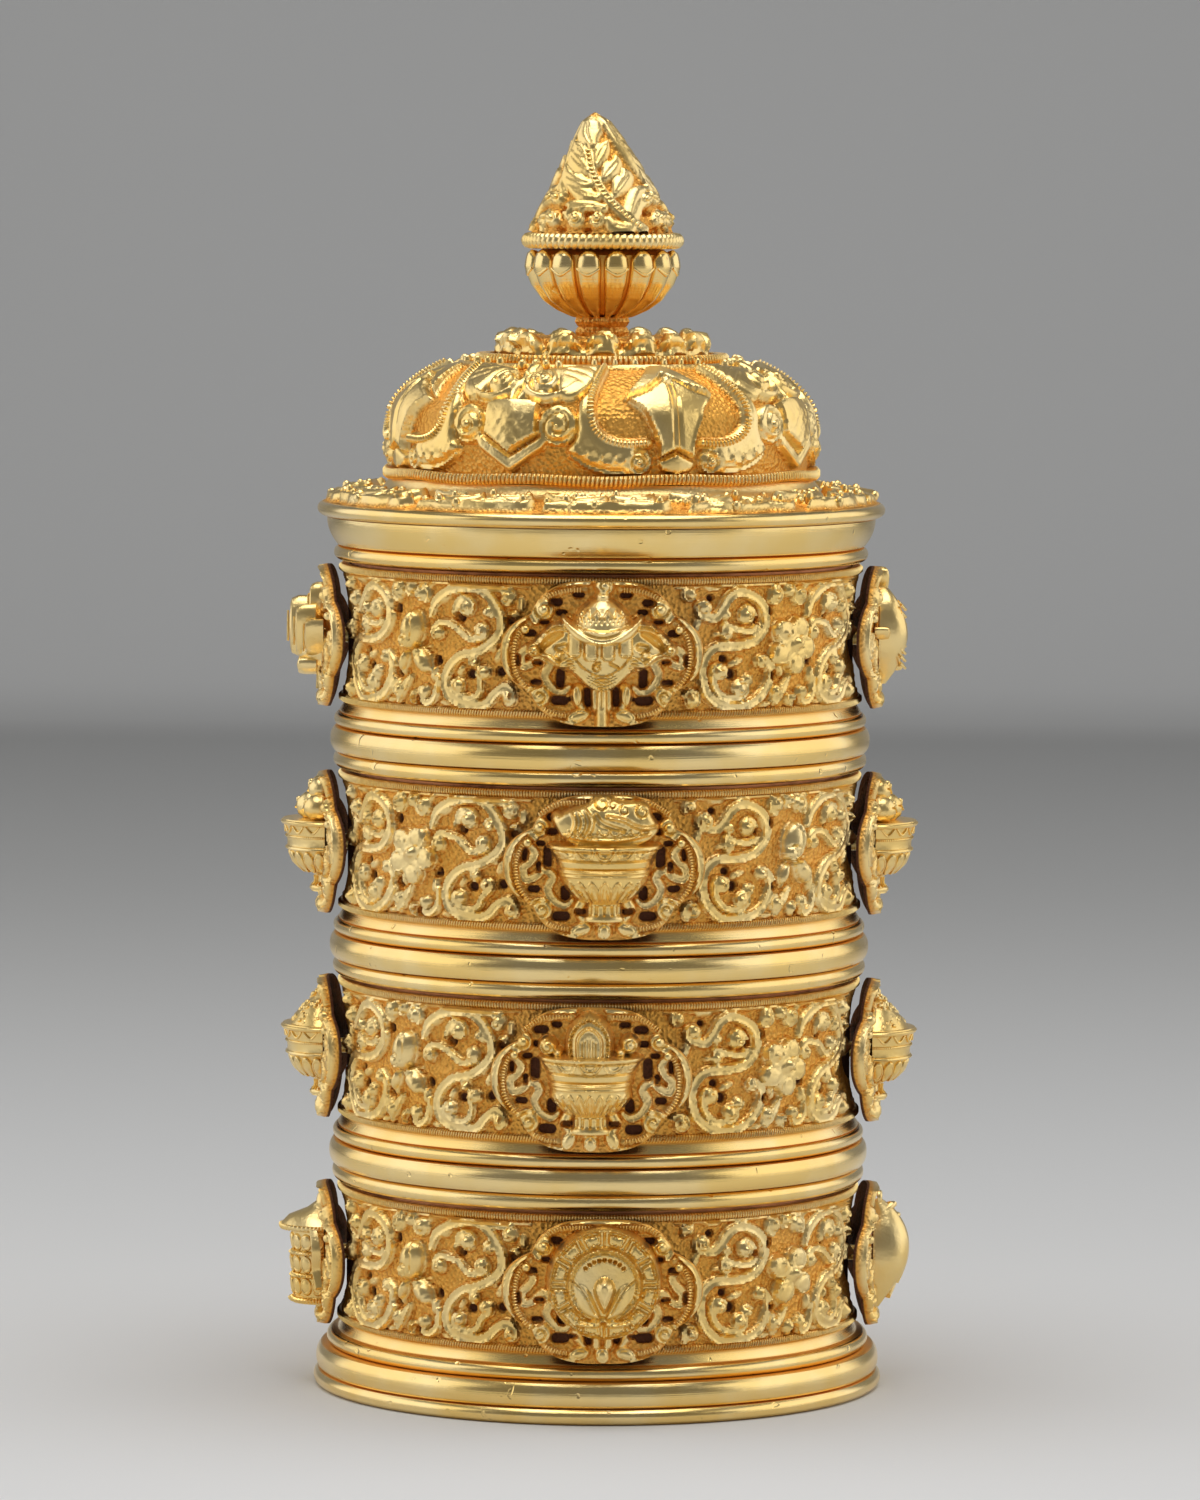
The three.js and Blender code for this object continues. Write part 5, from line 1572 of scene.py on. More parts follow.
def medallion_ground(relief, index, figure):
    """The cast round a medallion's symbol, and the symbol itself where it is chased in the same sheet."""
    if figure:
        shares = [i / 68 for i in range(69)]
        raised = figure().baked(-12.2, 12.2, -8.7, 12, 0.15)
    else:
        shares = [0.06 * i for i in range(6)] + [0.36 + 0.64 * i / 33 for i in range(34)]
    steps = 450 if figure else 280
    verts = ring(
        relief.mesh, [(0, 0.0), (1, 0.0), *[(share, GROUND) for share in reversed(shares)]], steps,
        closed=False,
    )
    work = medallion_grounds[index]
    for vert in verts:
        reach = lobed_reach(math.atan2(vert.co.y, vert.co.x), 0.1)
        share = math.hypot(vert.co.x, vert.co.y)
        vert.co.x *= reach
        vert.co.y *= reach
        if vert.co.z < 0.5:
            continue
        bent = 0.18 * noise.noise((vert.co.x * 0.3, vert.co.y * 0.3, index * 3.3))
        ground = work(abs(vert.co.x + bent), vert.co.y + bent)
        if figure:
            # The symbol stands straight out, so what the cast's bend takes from it is given back.
            high = raised(vert.co.x, vert.co.y)
            bow = MEDALLION_BACK - math.sqrt(MEDALLION_BACK**2 - vert.co.x**2)
            if high > FIGURE_EDGE:
                ground = max(ground, high + bow * min(high / 3, 1.0))
        vert.co.z += ground
        if share > 0.99:
            vert.co.z = min(vert.co.z, GROUND)
    for points, z in ((TOP_MILLED[index], 0.35), (SIDE_MILLED, 0.35), (FOOT_MILLED, 0.35)):
        for line in either_side(points):
            teeth(relief, even(line, 0.5), 0.47, 0.52, GROUND + z, 0.6)
    for x, y, size in ((*TOP_SPIRALS[index][:2], 0.85), (*FOOT_SPIRAL[:2], 0.45), (11.7, 3.6, 0.7)):
        for side in (1, -1):
            relief.stamp("bead", side * x, y, GROUND + 0.9, size)


def half_round(work, profile):
    """A turned shape standing upright: (y, half width, height of its middle) from the foot up."""
    right = [(half, y) for y, half, _ in profile]
    left = [(-half, y) for y, half, _ in reversed(profile)]
    rows = [y for y, _, _ in profile]

    def at(y):
        i = min(max(bisect.bisect_right(rows, y), 1), len(rows) - 1)
        t = min(max((y - rows[i - 1]) / (rows[i] - rows[i - 1]), 0.0), 1.0)
        return [a + (b - a) * t for a, b in zip(profile[i - 1][1:], profile[i][1:])]

    def tilt(x, y):
        half, high = at(y)
        return high * math.sqrt(max(1 - (x / half) ** 2, 0.0))

    work.plate([*right, *left], 0, tilt, 0.25, 0.0, smooth=False)

    def on_side(turn, y):
        """Where a place seen at an angle round the shape lies in the flat view."""
        return at(y)[0] * math.sin(math.radians(turn)), y

    return on_side


def round_line(work, on_side, spots, half_width, rise):
    """A line through (angle, y) places on a turned shape."""
    work.line([(*on_side(turn, y), half_width) for turn, y in spots], rise)


def across(work, on_side, y, half_width, rise):
    """A level line round the front of a turned shape."""
    round_line(work, on_side, [(turn, y) for turn in range(-84, 85, 12)], half_width, rise)


def disc(work, x, y, radius, rise, turns=0.0, start=80):
    """A domed disc, cut with a spiral where it has turns."""
    work.plate(circle(x, y, radius), rise, None, 0.4, 0.4, radius, smooth=False)
    if turns:
        work.line(spiral(x, y, radius, start, turns, radius * 0.16), -0.5, smooth=False)


def offering_bowl(work, rim, half_rim, petals=9, swags=7):
    """A footed bowl with swags under its rim and petals round its foot."""
    step = (rim - 1.2) / 2
    side = [
        (-8.3, 3.3, 2.6), (-7.6, 3.3, 2.6), (-7.1, 2.8, 2.3), (-5.8, 2.8, 2.3), (-5.5, 3.2, 2.7),
        (-4.6, 4.5, 3.8), (-3.4, 5.6, 4.7), (-2.5, 6.2, 5.1), (-1.2, half_rim - 1.9, 5.4),
        (0, half_rim - 1.6, 5.5), (1.2, half_rim - 1.3, 5.6), (rim - 0.7, half_rim - 0.5, 5.9),
        (rim - 0.4, half_rim, 6.3), (rim, half_rim, 6.3), (rim + 0.3, half_rim - 0.4, 5.2),
    ]
    on_side = half_round(work, side)
    across(work, on_side, rim - 0.7, 0.2, -0.4)
    across(work, on_side, 1.25, 0.2, -0.35)
    across(work, on_side, 0.0, 0.22, -0.4)
    across(work, on_side, -0.55, 0.26, 0.3)
    across(work, on_side, -1.15, 0.24, 0.25)
    across(work, on_side, -5.45, 0.25, -0.4)
    pitch = 150 / swags
    for i in range(swags):
        turn = (i - (swags - 1) / 2) * pitch
        for low, wide, rise in ((1.55, 0.48, 0.3), (2.0, 0.3, 0.24)):
            drop = [
                (turn - wide * pitch, 1.2 + step * 1.5), (turn - wide * 0.6 * pitch, low + 0.2),
                (turn, low), (turn + wide * 0.6 * pitch, low + 0.2),
                (turn + wide * pitch, 1.2 + step * 1.5),
            ]
            round_line(work, on_side, drop, 0.2, rise)
    pitch = 168 / petals
    for i in range(petals):
        turn = (i - (petals - 1) / 2) * pitch
        for wide, top in ((0.45, -1.9), (0.24, -2.7)):
            petal = [
                (turn - wide * pitch, -5.2), (turn - wide * pitch, top - 1.3), (turn, top),
                (turn + wide * pitch, top - 1.3), (turn + wide * pitch, -5.2),
            ]
            round_line(work, on_side, petal, 0.17, 0.3 if wide > 0.4 else -0.22)
    for i in range(-3, 4):
        round_line(work, on_side, [(i * 24, -7.0), (i * 24, -5.9)], 0.3, -0.4)


def parasol():
    work = Chasing()
    drape = [
        (0, 5.0), (5.6, 4.9), (7.6, 4.7), (9.6, 2.7), (11.3, 1.0), (10.8, -0.5), (8.6, -0.5), (7.0, -2.0),
        (5.0, -2.2), (3.4, -3.8), (1.6, -5.3), (0, -5.7),
    ]
    work.plate(
        both_halves(drape), 0, lambda x, y: 4.6 * (1 - (x / 12.6) ** 2) - 0.16 * abs(y - 1), 0.4, 0.1, 0.8,
        smooth=False,
    )
    for side in (1, -1):
        work.line([(side * 6.3, 3.2, 0.6), (side * 8.4, 1.7, 0.7), (side * 9.2, 0.6, 0.3)], -0.9)
        work.line([(side * 5.7, 1.2, 0.9), (side * 6.6, 1.0, 0.8)], -0.9)
        for k in range(2):
            upper = [
                (11.2 - 0.3 * k, 0.5 - 0.2 * k), (9.5, 2.5 - 0.7 * k), (7.5, 4.3 - 0.8 * k),
                (5.6, 4.6 - 0.8 * k),
            ]
            work.line([(side * x, y, 0.34) for x, y in upper], 0.75)
        disc(work, side * 10.3, 0.6, 1.2, 3.0, 1.0, 30 * side)
        disc(work, side * 6.4, -0.1, 1.0, 4.1, 1.0, 30)
    for k in range(5):
        skirt = [
            (9.2, -0.1), (7.8, -0.5), (6.4, -1.5), (5.2, -1.1), (4.2, -1.2), (2.9, -2.6), (1.3, -3.6),
            (0, -3.9),
        ]
        half = [(x - 0.08 * k, y - 0.52 * (k - 1) * (1.0 if x < 6 else 0.45)) for x, y in skirt]
        line = [*even(half, 0.3), *[(-x, y, 0.3) for x, y in reversed(half[:-1])]]
        work.line(line, 0.5)
    disc(work, -0.7, -1.9, 1.0, 4.9, 1.1, 60)
    work.line([(1.2, -1.2, 0.3), (2.4, -1.8, 0.3)], -0.5)
    for x, y in ((-4.2, 0.9), (-1.7, 0.4), (0.9, 0.4), (3.6, 0.9)):
        flap = [
            (x - 1.0, y + 2.4), (x + 1.0, y + 2.4), (x + 1.05, y - 0.8), (x + 0.6, y - 1.3),
            (x - 0.6, y - 1.3), (x - 1.05, y - 0.8),
        ]
        work.plate(flap, 0, lambda px, py: 5.7 - 0.05 * px * px, 0.3, 0.0, smooth=False)
        work.line(
            [(px * 0.72 + x * 0.28, py * 0.72 + y * 0.28, 0.14) for px, py in flap[1:] + flap[:1]], -0.2,
            smooth=False,
        )
    dome = [
        (2.6, 5.4, 6.3), (3.6, 5.0, 5.9), (4.8, 4.5, 5.4), (6.0, 4.1, 4.9), (7.2, 3.2, 4.2),
        (8.0, 2.2, 3.4), (8.6, 1.0, 2.5),
    ]
    on_side = half_round(work, dome)
    work.plate(
        both_halves(
            [(0, 3.9), (2.8, 4.1), (4.6, 4.8), (5.9, 5.9), (6.2, 5.4), (5.2, 3.3), (3.2, 2.0), (0, 1.5)]
        ),
        0, lambda x, y: 6.7 - 0.09 * x * x, 0.3, 0.15, 0.5,
    )
    for low, width, rise in ((1.9, 0.26, 0.25), (2.75, 0.3, -0.45), (3.5, 0.26, 0.2)):
        work.line(
            [
                (x, low + (0.115 - 0.016 * (low - 1.9)) * x * x * (1 - 0.003 * x * x), width)
                for x in (-5.4, -4.4, -3.2, -1.6, 0, 1.6, 3.2, 4.4, 5.4)
            ],
            rise,
        )
    for turn in range(-72, 73, 24):
        round_line(
            work, on_side,
            [(turn - 12, 6.7), (turn - 6, 6.05), (turn, 5.8), (turn + 6, 6.05), (turn + 12, 6.7)], 0.24,
            0.4,
        )
    for i in range(26):
        work.line(
            [
                (*on_side(-66 + i * 5.4, 4.9 + 0.5 * (i % 2)), 0.2),
                (*on_side(-65 + i * 5.4, 5.0 + 0.5 * (i % 2)), 0.2),
            ],
            -0.35,
        )
    disc(work, 0.1, 8.7, 1.2, 3.4)
    disc(work, 0.3, 10.3, 1.5, 3.0, 1.2, 200)
    work.ridge([(0, -5.2, 1.0), (0, -8.4, 1.1)], 1.9)
    work.line([(0, -5.6, 0.2), (0, -8.2, 0.2)], -0.3)
    for side in (1, -1):
        work.plate(circle(side * 3.7, -6.3, 0.9, 1.8, steps=12), 1.7)
        work.line([(side * 3.5, -7.6, 0.2), (side * 3.8, -5.2, 0.2)], -0.3)
    return work


def conch_bowl():
    work = Chasing()
    body = [
        (-7.9, 7.3), (-6.6, 5.0), (-4.5, 3.6), (0, 3.0), (4.5, 3.4), (7.2, 4.6), (8.2, 6.2), (7.2, 8.0),
        (6.4, 9.8), (4.5, 10.4), (2.6, 10.4), (0.6, 11.0), (-1.4, 11.2), (-2.6, 10.0), (-4.4, 9.3),
        (-6.2, 8.6),
    ]
    work.plate(
        body, 0, lambda x, y: 5.6 * math.sqrt(max(1 - ((y - 6.6) / 5.4) ** 2, 0)) * (1 - 0.006 * x * x),
        0.4, 0.1, 0.8,
    )
    for x, width in ((-5.2, 0.4), (-3.9, 0.45), (-2.6, 0.5)):
        bow = [
            (x - 0.5, 4.9, width * 0.6), (x + 0.4, 6.2, width), (x + 0.6, 7.6, width),
            (x - 0.2, 9.0, width * 0.6),
        ]
        work.line(bow, 0.8)
        if width == 0.45:
            work.line(
                [(px, py, 0.16 + 0.2 * (i % 2)) for i, (px, py, _) in enumerate(smooth_line(bow, 0.26))],
                -0.4, smooth=False,
            )
    disc(work, -7.1, 7.6, 0.95, 3.4)
    work.line(
        [
            (0.4, 8.1, 0.5), (1.8, 7.9, 0.5), (3.2, 7.5, 0.5), (4.4, 6.8, 0.5), (5.9, 6.4, 0.5),
            (7.6, 6.5, 0.4),
        ],
        1.0,
    )
    work.line([(-1.4, 8.4, 0.5), (-0.6, 7.2, 0.7), (0.9, 6.6, 0.6), (3.0, 6.0, 0.4)], -0.5)
    for x, y, radius, rise in (
        (-0.4, 10.1, 1.5, 4.2), (3.0, 9.1, 1.0, 4.6), (5.7, 8.8, 1.35, 4.0), (1.2, 9.9, 0.8, 4.2),
    ):
        disc(work, x, y, radius, rise, 1.0, 120)
    for x in (-4.9, -3.3, -1.7, -0.1, 1.5, 3.1, 4.7, 6.1):
        work.line(scallop(x, 6.0, 0.7, 0, 0.16), 0.35)
    work.line([(-6.4, 5.3, 0.3), (-3, 4.7, 0.5), (2, 4.6, 0.5), (6.9, 5.4, 0.3)], 0.7)
    offering_bowl(work, 3.4, 8.7)
    return work


def jewel_bowl():
    work = Chasing()
    arch = [
        (3.3, 3.0), (3.4, 6.6), (2.7, 8.5), (1.4, 9.8), (-0.2, 10.5), (-1.8, 9.8), (-3.1, 8.5), (-3.8, 6.6),
        (-3.7, 3.0),
    ]
    work.plate(arch, 0, lambda x, y: 4.6 - 0.12 * x * x - 0.1 * max(y - 5, 0), 0.35, 0.1, 0.8, smooth=False)
    rim = [
        (2.75, 3.4), (2.9, 6.4), (2.2, 8.2), (1.1, 9.2), (-0.2, 9.8), (-1.5, 9.2), (-2.6, 8.2), (-3.3, 6.4),
        (-3.15, 3.4),
    ]
    rim = even(rim, 0.42)
    work.line(rim, 0.9)
    for (x, y, _), heading in spots_along(rim, 0.46):
        slant = math.radians(heading + 90)
        work.line(even([polar(x, y, reach, slant) for reach in (-0.4, 0.4)], 0.13), -0.6, smooth=False)
    work.line(
        even([(1.6, 3.4), (1.7, 6.3), (0.9, 7.7), (-0.2, 8.3), (-1.3, 7.7), (-2.0, 6.3), (-1.9, 3.4)], 0.3),
        0.6,
    )
    for i in range(6):
        x = -1.3 + i * 0.44
        work.line([(x, 3.8, 0.13), (x, 6.9 - abs(i - 2.5) * 0.3, 0.13)], -0.35, smooth=False)
    for x, y, start in ((-6.5, 5.3, 20), (5.9, 5.6, 160), (-5.0, 4.3, 90), (4.6, 4.4, 90)):
        disc(work, x, y, 1.5 if abs(x) > 5 else 0.9, 3.4, 1.2 if abs(x) > 5 else 0, start)
    offering_bowl(work, 3.6, 8.0, petals=11, swags=5)
    return work


def dharma_wheel():
    work = Chasing()
    x0, y0 = 0.2, 1.6
    for radius, rise in ((8.7, 3.6), (5.8, 4.6)):
        work.plate(circle(x0, y0, radius, steps=60), rise, None, 0.5, 0.0, smooth=False)
    for radius, width, rise in ((8.35, 0.3, 0.7), (5.6, 0.35, 0.6), (4.9, 0.2, -0.4)):
        work.line(even(closed(circle(x0, y0, radius, steps=60)), width), rise, smooth=False)
    for i in range(12):
        angle = TURN * (i + 0.5) / 12
        corners = ((-0.17, 6.2), (-0.19, 7.9), (0.19, 7.9), (0.17, 6.2))
        block = [polar(x0, y0, radius, angle + off) for off, radius in corners]
        work.plate(block, 4.5, None, 0.3, 0.0, smooth=False)
        inner = [
            (
                bx * 0.62 + 0.38 * sum(p[0] for p in block) / 4,
                by * 0.62 + 0.38 * sum(p[1] for p in block) / 4, 0.14,
            )
            for bx, by in closed(block)
        ]
        work.line(inner, -0.22, smooth=False)
        angle += TURN / 24
        work.line(even([polar(x0, y0, radius, angle) for radius in (6.1, 8.0)], 0.2), 0.5, smooth=False)
    for i in range(9):
        angle = math.radians(42 + i * 12)
        x, y = polar(x0, y0, 3.9, angle)
        work.line([(x - 0.05, y, 0.36), (x + 0.05, y, 0.36)], -1.1, smooth=False)
    for side in (1, -1):
        petal = [
            (side * x, y)
            for x, y in (
                (5.9, 3.6), (4.4, 3.4), (2.6, 1.8), (1.2, -0.8), (0.2, -3.6), (2.4, -3.4), (4.6, -1.8),
                (5.8, 0.6),
            )
        ]
        work.plate(petal, 0, lambda x, y: 6.0 - 0.09 * x * x, 0.4, 0.25, 1.2)
        work.line([(side * 4.9, 2.4, 0.22), (side * 3.0, 0.6, 0.22), (side * 1.2, -2.6, 0.2)], -0.35)
        lower = [
            (side * x, y)
            for x, y in (
                (0.4, -3.4), (3.0, -3.6), (5.2, -2.2), (6.6, 0.2), (6.4, -2.4), (4.6, -4.8), (1.6, -5.2),
                (0, -4.6),
            )
        ]
        work.plate(lower, 0, lambda x, y: 5.6 - 0.07 * x * x, 0.4, 0.25, 1.0)
        work.line([(side * 1.2, -4.3, 0.18), (side * 3.8, -3.9, 0.18), (side * 5.6, -2.2, 0.18)], -0.3)
    work.plate(
        [
            (0.2 + x, y)
            for x, y in (
                (0, 3.2), (1.3, 2.6), (1.9, 1.0), (1.2, -1.2), (0, -3.0), (-1.2, -1.2), (-1.9, 1.0),
                (-1.3, 2.6),
            )
        ],
        6.6, None, 0.4, 0.4, 1.6,
    )
    work.line(
        [(0.2 + x, y, 0.17) for x, y in ((-1.0, 2.0), (-1.2, 0.8), (0, -1.8), (1.2, 0.8), (1.0, 2.0))], 0.3,
    )
    return work


FIGURES = [dharma_wheel, jewel_bowl, conch_bowl, parasol]


SYMBOL_FOOT = 0.6  # a turned symbol's axis over the medallion's back
SYMBOL_REACH = 6.8
SYMBOL_STEPS = 40


def turned_symbol(relief, outline, reach=SYMBOL_REACH):
    """Half of a turned shape that stands upright on the medallion, and the skin to draw on it."""
    widest = max(radius for radius, _ in outline)
    depth = reach / widest
    mesh = new_mesh()
    verts = [mesh.verts.new((radius, 0, height)) for radius, height in outline]
    edges = [mesh.edges.new(pair) for pair in zip(verts, verts[1:])]
    half = {"cent": (0, 0, 0), "axis": (0, 0, 1), "angle": -math.pi, "steps": SYMBOL_STEPS}
    bmesh.ops.spin(mesh, geom=verts + edges, **half)
    bmesh.ops.remove_doubles(mesh, verts=mesh.verts, dist=WELD)
    bmesh.ops.holes_fill(mesh, edges=[edge for edge in mesh.edges if edge.is_boundary])
    for vert in mesh.verts:
        vert.co = (vert.co.x, vert.co.z, SYMBOL_FOOT - vert.co.y * depth)
    joined(relief.mesh, mesh)
    side = [point for point in outline if point[0] > 0.01]
    wrap = Skin(side, widest)
    low = side[0][1]

    def on_side(x, y, z):
        """Places a point of a flat drawing whose y is the height in the outline."""
        along = y - low
        for i, (start, end) in enumerate(zip(side, side[1:])):
            if start[1] <= y <= end[1] and end[1] > start[1]:
                along = wrap.lengths[i] + (
                    wrap.lengths[i + 1] - wrap.lengths[i]
                ) * (y - start[1]) / (end[1] - start[1])
                break
        point = wrap(x, along, z)
        return Vector((point.x, point.z, SYMBOL_FOOT - point.y * depth))

    return on_side, widest


def drawn_on(relief, on_side, drawing):
    """Wraps a drawing on a symbol and joins it, still in the medallion's flat measure."""
    drawing.draw()
    for vert in drawing.mesh.verts:
        vert.co = on_side(*vert.co)
    joined(relief.mesh, drawing.mesh)


def petals_round(drawing, reach, y, height, count):
    """A row of incised petals round the front of a turned symbol."""
    pitch = math.pi * reach / count
    for i in range(count):
        x = (i - (count - 1) / 2) * pitch
        drawing.stamp("petal", x, y, 0.0, (pitch * 0.52, height, 0.5))


def band_line(drawing, reach, y, half_width, pitch=0.0):
    """A ribbon round the front of a turned symbol, milled where it has a pitch."""
    line = [(share * math.pi / 2 * reach, y, 0.05, half_width) for share in (-1, 0, 1)]
    drawing.stroke("round", ticked(line, pitch, 0.35) if pitch else smooth_line(line, 0.8))


def side_bowl(relief):
    """A footed bowl with petals, swags and a milled rim."""
    rim, half_rim, foot = 3.7, 8.3, -7.8
    outline = [
        (0, foot), (2.7, foot), (2.6, -7.0), (2.0, -6.4), (2.0, -5.5), (2.4, -5.0), (4.4, -4.3),
        (6.0, -3.0), (7.0, -1.2),
    ]
    outline += [
        (7.4, -0.8), (7.3, 0.0), (7.5, 1.2), (half_rim - 0.4, rim - 0.8), (half_rim, rim - 0.3),
        (half_rim - 0.1, rim), (0, rim),
    ]
    on_side, widest = turned_symbol(relief, outline)
    drawing = Relief()
    petals_round(drawing, widest, -2.9, 1.7, 9)
    band_line(drawing, widest, -0.8, 0.28)
    band_line(drawing, widest, 1.0, 0.22, 0.5)
    band_line(drawing, widest, rim - 0.5, 0.32)
    for i in range(7):
        x = (i - 3) * widest * 0.42
        swag = [(x - 1.5, 2.8, 0.05, 0.16), (x, 1.7, 0.1, 0.22), (x + 1.5, 2.8, 0.05, 0.16)]
        drawing.stroke("round", smooth_line(swag, 0.4))
    for i in range(9):
        x = (i - 4) * widest * 0.36
        drawing.stroke("round", smooth_line([(x, -6.9, 0.0, 0.3), (x, -5.3, 0.0, 0.22)], 0.5))
    band_line(drawing, widest, -7.3, 0.35)
    drawn_on(relief, on_side, drawing)


def fruit_heap(relief):
    side_bowl(relief)
    for x, y, z, size in (
        (-4.6, 5.6, 1.4, 2.3), (4.6, 5.6, 1.4, 2.3), (0, 5.6, 2.4, 2.5), (-2.4, 8.4, 1.0, 2.0),
        (2.4, 8.4, 1.0, 2.0),
    ):
        relief.stamp("bead", x, y, z, (size, size, size * 1.15))
        relief.stroke(
            "wire",
            smooth_line(
                [(x - size * 0.6, y + 0.6, z + size, 0.2), (x, y - 0.3, z + size * 1.15, 0.2)], 0.4,
            ),
        )
        relief.stamp("button", x, y + size * 0.4, z + size * 0.95, (0.5, 0.5, 0.4))


def rice_heap(relief):
    side_bowl(relief)
    heap = [(0, 3.6), (7.4, 3.7), (6.2, 5.2), (4.4, 6.6), (2.2, 8.0), (0.9, 9.3), (0, 9.8)]
    turned_symbol(relief, heap, 5.6)
    jitter = random.Random(3)
    for _ in range(60):
        y = 4.2 + 5.0 * jitter.random() ** 1.5
        half = 7.2 * (1 - (y - 3.7) / 6.4)
        angle = jitter.uniform(-1.4, 1.4)
        spot = (half * math.sin(angle), y, SYMBOL_FOOT + half * math.cos(angle) * 0.75)
        relief.stamp("bead", *spot, (0.42, 0.75, 0.5), jitter.uniform(0, 180))


def fish(relief):
    for side in (1, -1):
        body = [
            (side * 2.4, 8.2, 1.2, 0.6), (side * 4.4, 5.0, 2.2, 1.9), (side * 4.2, 0.6, 2.6, 2.7),
            (side * 2.6, -3.6, 2.2, 1.9), (side * 1.4, -6.8, 1.4, 0.9),
        ]
        relief.stroke("round", smooth_line(body))
        for i in range(9):
            y = 5.4 - i * 1.15
            x = side * (4.4 - 0.012 * (y - 3) ** 2)
            relief.stroke(
                "wire",
                smooth_line([(x - 1.3, y, 4.4, 0.2), (x, y - 0.8, 5.2, 0.24), (x + 1.3, y, 4.4, 0.2)], 0.4),
            )
        relief.stamp("button", side * 2.3, -4.4, 4.0, (0.7, 0.7, 0.8))
        for x, y, turn in ((2.4, 9.4, 20), (0.9, 8.8, -20), (7.0, 1.0, 60)):
            relief.stamp("petal", side * x, y, 1.2, (0.8, 1.7, 1.6), -side * turn)


def treasure_vase(relief):
    outline = [
        (0, -7.6), (3.2, -7.6), (3.0, -6.8), (2.2, -6.2), (3.6, -5.2), (5.8, -3.2), (6.4, -1.0), (5.6, 1.2),
        (3.6, 2.8),
    ]
    outline += [
        (2.4, 3.6), (2.3, 4.6), (4.2, 5.8), (4.0, 6.3), (2.4, 6.6), (1.6, 8.2), (0.6, 9.6), (0, 9.8),
    ]
    on_side, widest = turned_symbol(relief, outline)
    drawing = Relief()
    petals_round(drawing, widest, -3.9, 1.6, 8)
    petals_round(drawing, widest, 1.6, 1.3, 8)
    band_line(drawing, widest, -1.2, 0.4, 0.5)
    band_line(drawing, widest, 4.0, 0.4)
    for i in range(5):
        x = (i - 2) * 3.2
        drawing.stroke(
            "round",
            smooth_line([(x - 1.4, -0.6, 0.1, 0.2), (x, -2.0, 0.1, 0.3), (x + 1.4, -0.6, 0.1, 0.2)], 0.4),
        )
    drawn_on(relief, on_side, drawing)
    relief.stamp("petal", 0, 8.4, 1.6, (1.5, 2.2, 3.0))


def lotus(relief):
    relief.stamp("bead", 0, -2.4, 1.2, (6.0, 3.4, 4.0))
    for x, y, z, wide, tall, thick, turn in (
        (0, 1.4, 4.2, 2.3, 4.8, 2.4, 0), (3.4, 0.8, 3.4, 1.9, 4.5, 2.2, -22),
        (-3.4, 0.8, 3.4, 1.9, 4.5, 2.2, 22),
        (6.2, -0.2, 2.0, 1.6, 4.1, 2.0, -44), (-6.2, -0.2, 2.0, 1.6, 4.1, 2.0, 44),
        (1.9, 4.6, 1.6, 1.5, 3.6, 1.8, -8), (-1.9, 4.6, 1.6, 1.5, 3.6, 1.8, 8),
    ):
        relief.stamp("petal", x, y, z, (wide, tall, thick), turn)
        relief.stroke(
            "wire",
            smooth_line([(x, y - tall * 0.5, z + thick, 0.2), (x, y + tall * 0.5, z + thick, 0.16)], 0.6),
        )
    for side in (1, -1):
        relief.stamp("petal", side * 3.0, -4.6, 3.2, (2.2, 1.4, 2.0), side * 20)
    relief.stroke("lined", smooth_line([(0, -5.4, 0.9, 1.0), (0, -8.4, 0.8, 1.2)]))


def conch(relief):
    body = [
        (0.4, 8.2, 1.4, 0.9), (0.6, 5.6, 2.4, 2.4), (0.2, 2.2, 3.0, 3.4), (-0.6, -1.6, 2.8, 3.2),
        (-1.4, -5.0, 2.0, 1.9), (-1.8, -8.2, 1.2, 0.7),
    ]
    relief.stroke("round", smooth_line(body))
    for i in range(4):
        y = 7.2 - i * 1.7
        half = 1.3 + i * 0.65
        relief.stroke(
            "round",
            smooth_line(
                [
                    (0.4 - half, y - 0.5, 2.6, 0.3), (0.5, y + 0.4, 4.3 + i * 0.6, 0.5),
                    (0.4 + half, y, 2.6, 0.3),
                ],
                0.4,
            ),
        )
    lip = [(2.6, 3.4, 3.4, 0.8), (3.4, 0.2, 4.4, 1.0), (2.2, -3.4, 4.4, 0.9), (-0.6, -6.8, 3.2, 0.6)]
    relief.stroke("lined", smooth_line(lip))
    inner = [(-2.6, 1.4, 4.2, 0.5), (-1.0, -1.4, 5.6, 0.6), (-1.0, -4.6, 4.6, 0.5)]
    relief.stroke("round", smooth_line(inner))
    relief.stroke("round", [(x, y, 2.0, w) for x, y, w in coil(0.4, 8.6, 1.4, 0.5, 1, 0.5, 1.4)])


def endless_knot(relief):
    boss(relief, [(0, -8.4), (8.4, 0), (0, 8.4), (-8.4, 0)], 1.2, 0.6, 0.4, 0.7)
    for i in (-1, 0, 1):
        for side in (1, -1):
            line = []
            for k in range(-4, 5):
                a = k * 1.35
                x, y = (a + i * 3.4) * 0.7071, (a - i * 3.4) * 0.7071
                over = 0.7 if (k + i) % 2 == (0 if side > 0 else 1) else 0.1
                line.append((side * x, y, 2.6 + over, 0.75))
            relief.stroke("lined", smooth_line(line, 0.4))
    for side in (1, -1):
        for x, y in ((7.6, 0), (0, 7.9), (0, -7.9)):
            loop = coil(side * x, side * y if x == 0 else y, 1.6, 0.4, side, 0.55, 1.0)
            relief.stroke("round", [(px, py, 2.0, w) for px, py, w in loop])
    relief.stamp("petal", 0, 0, 3.6, (1.5, 1.5, 2.6), 45)


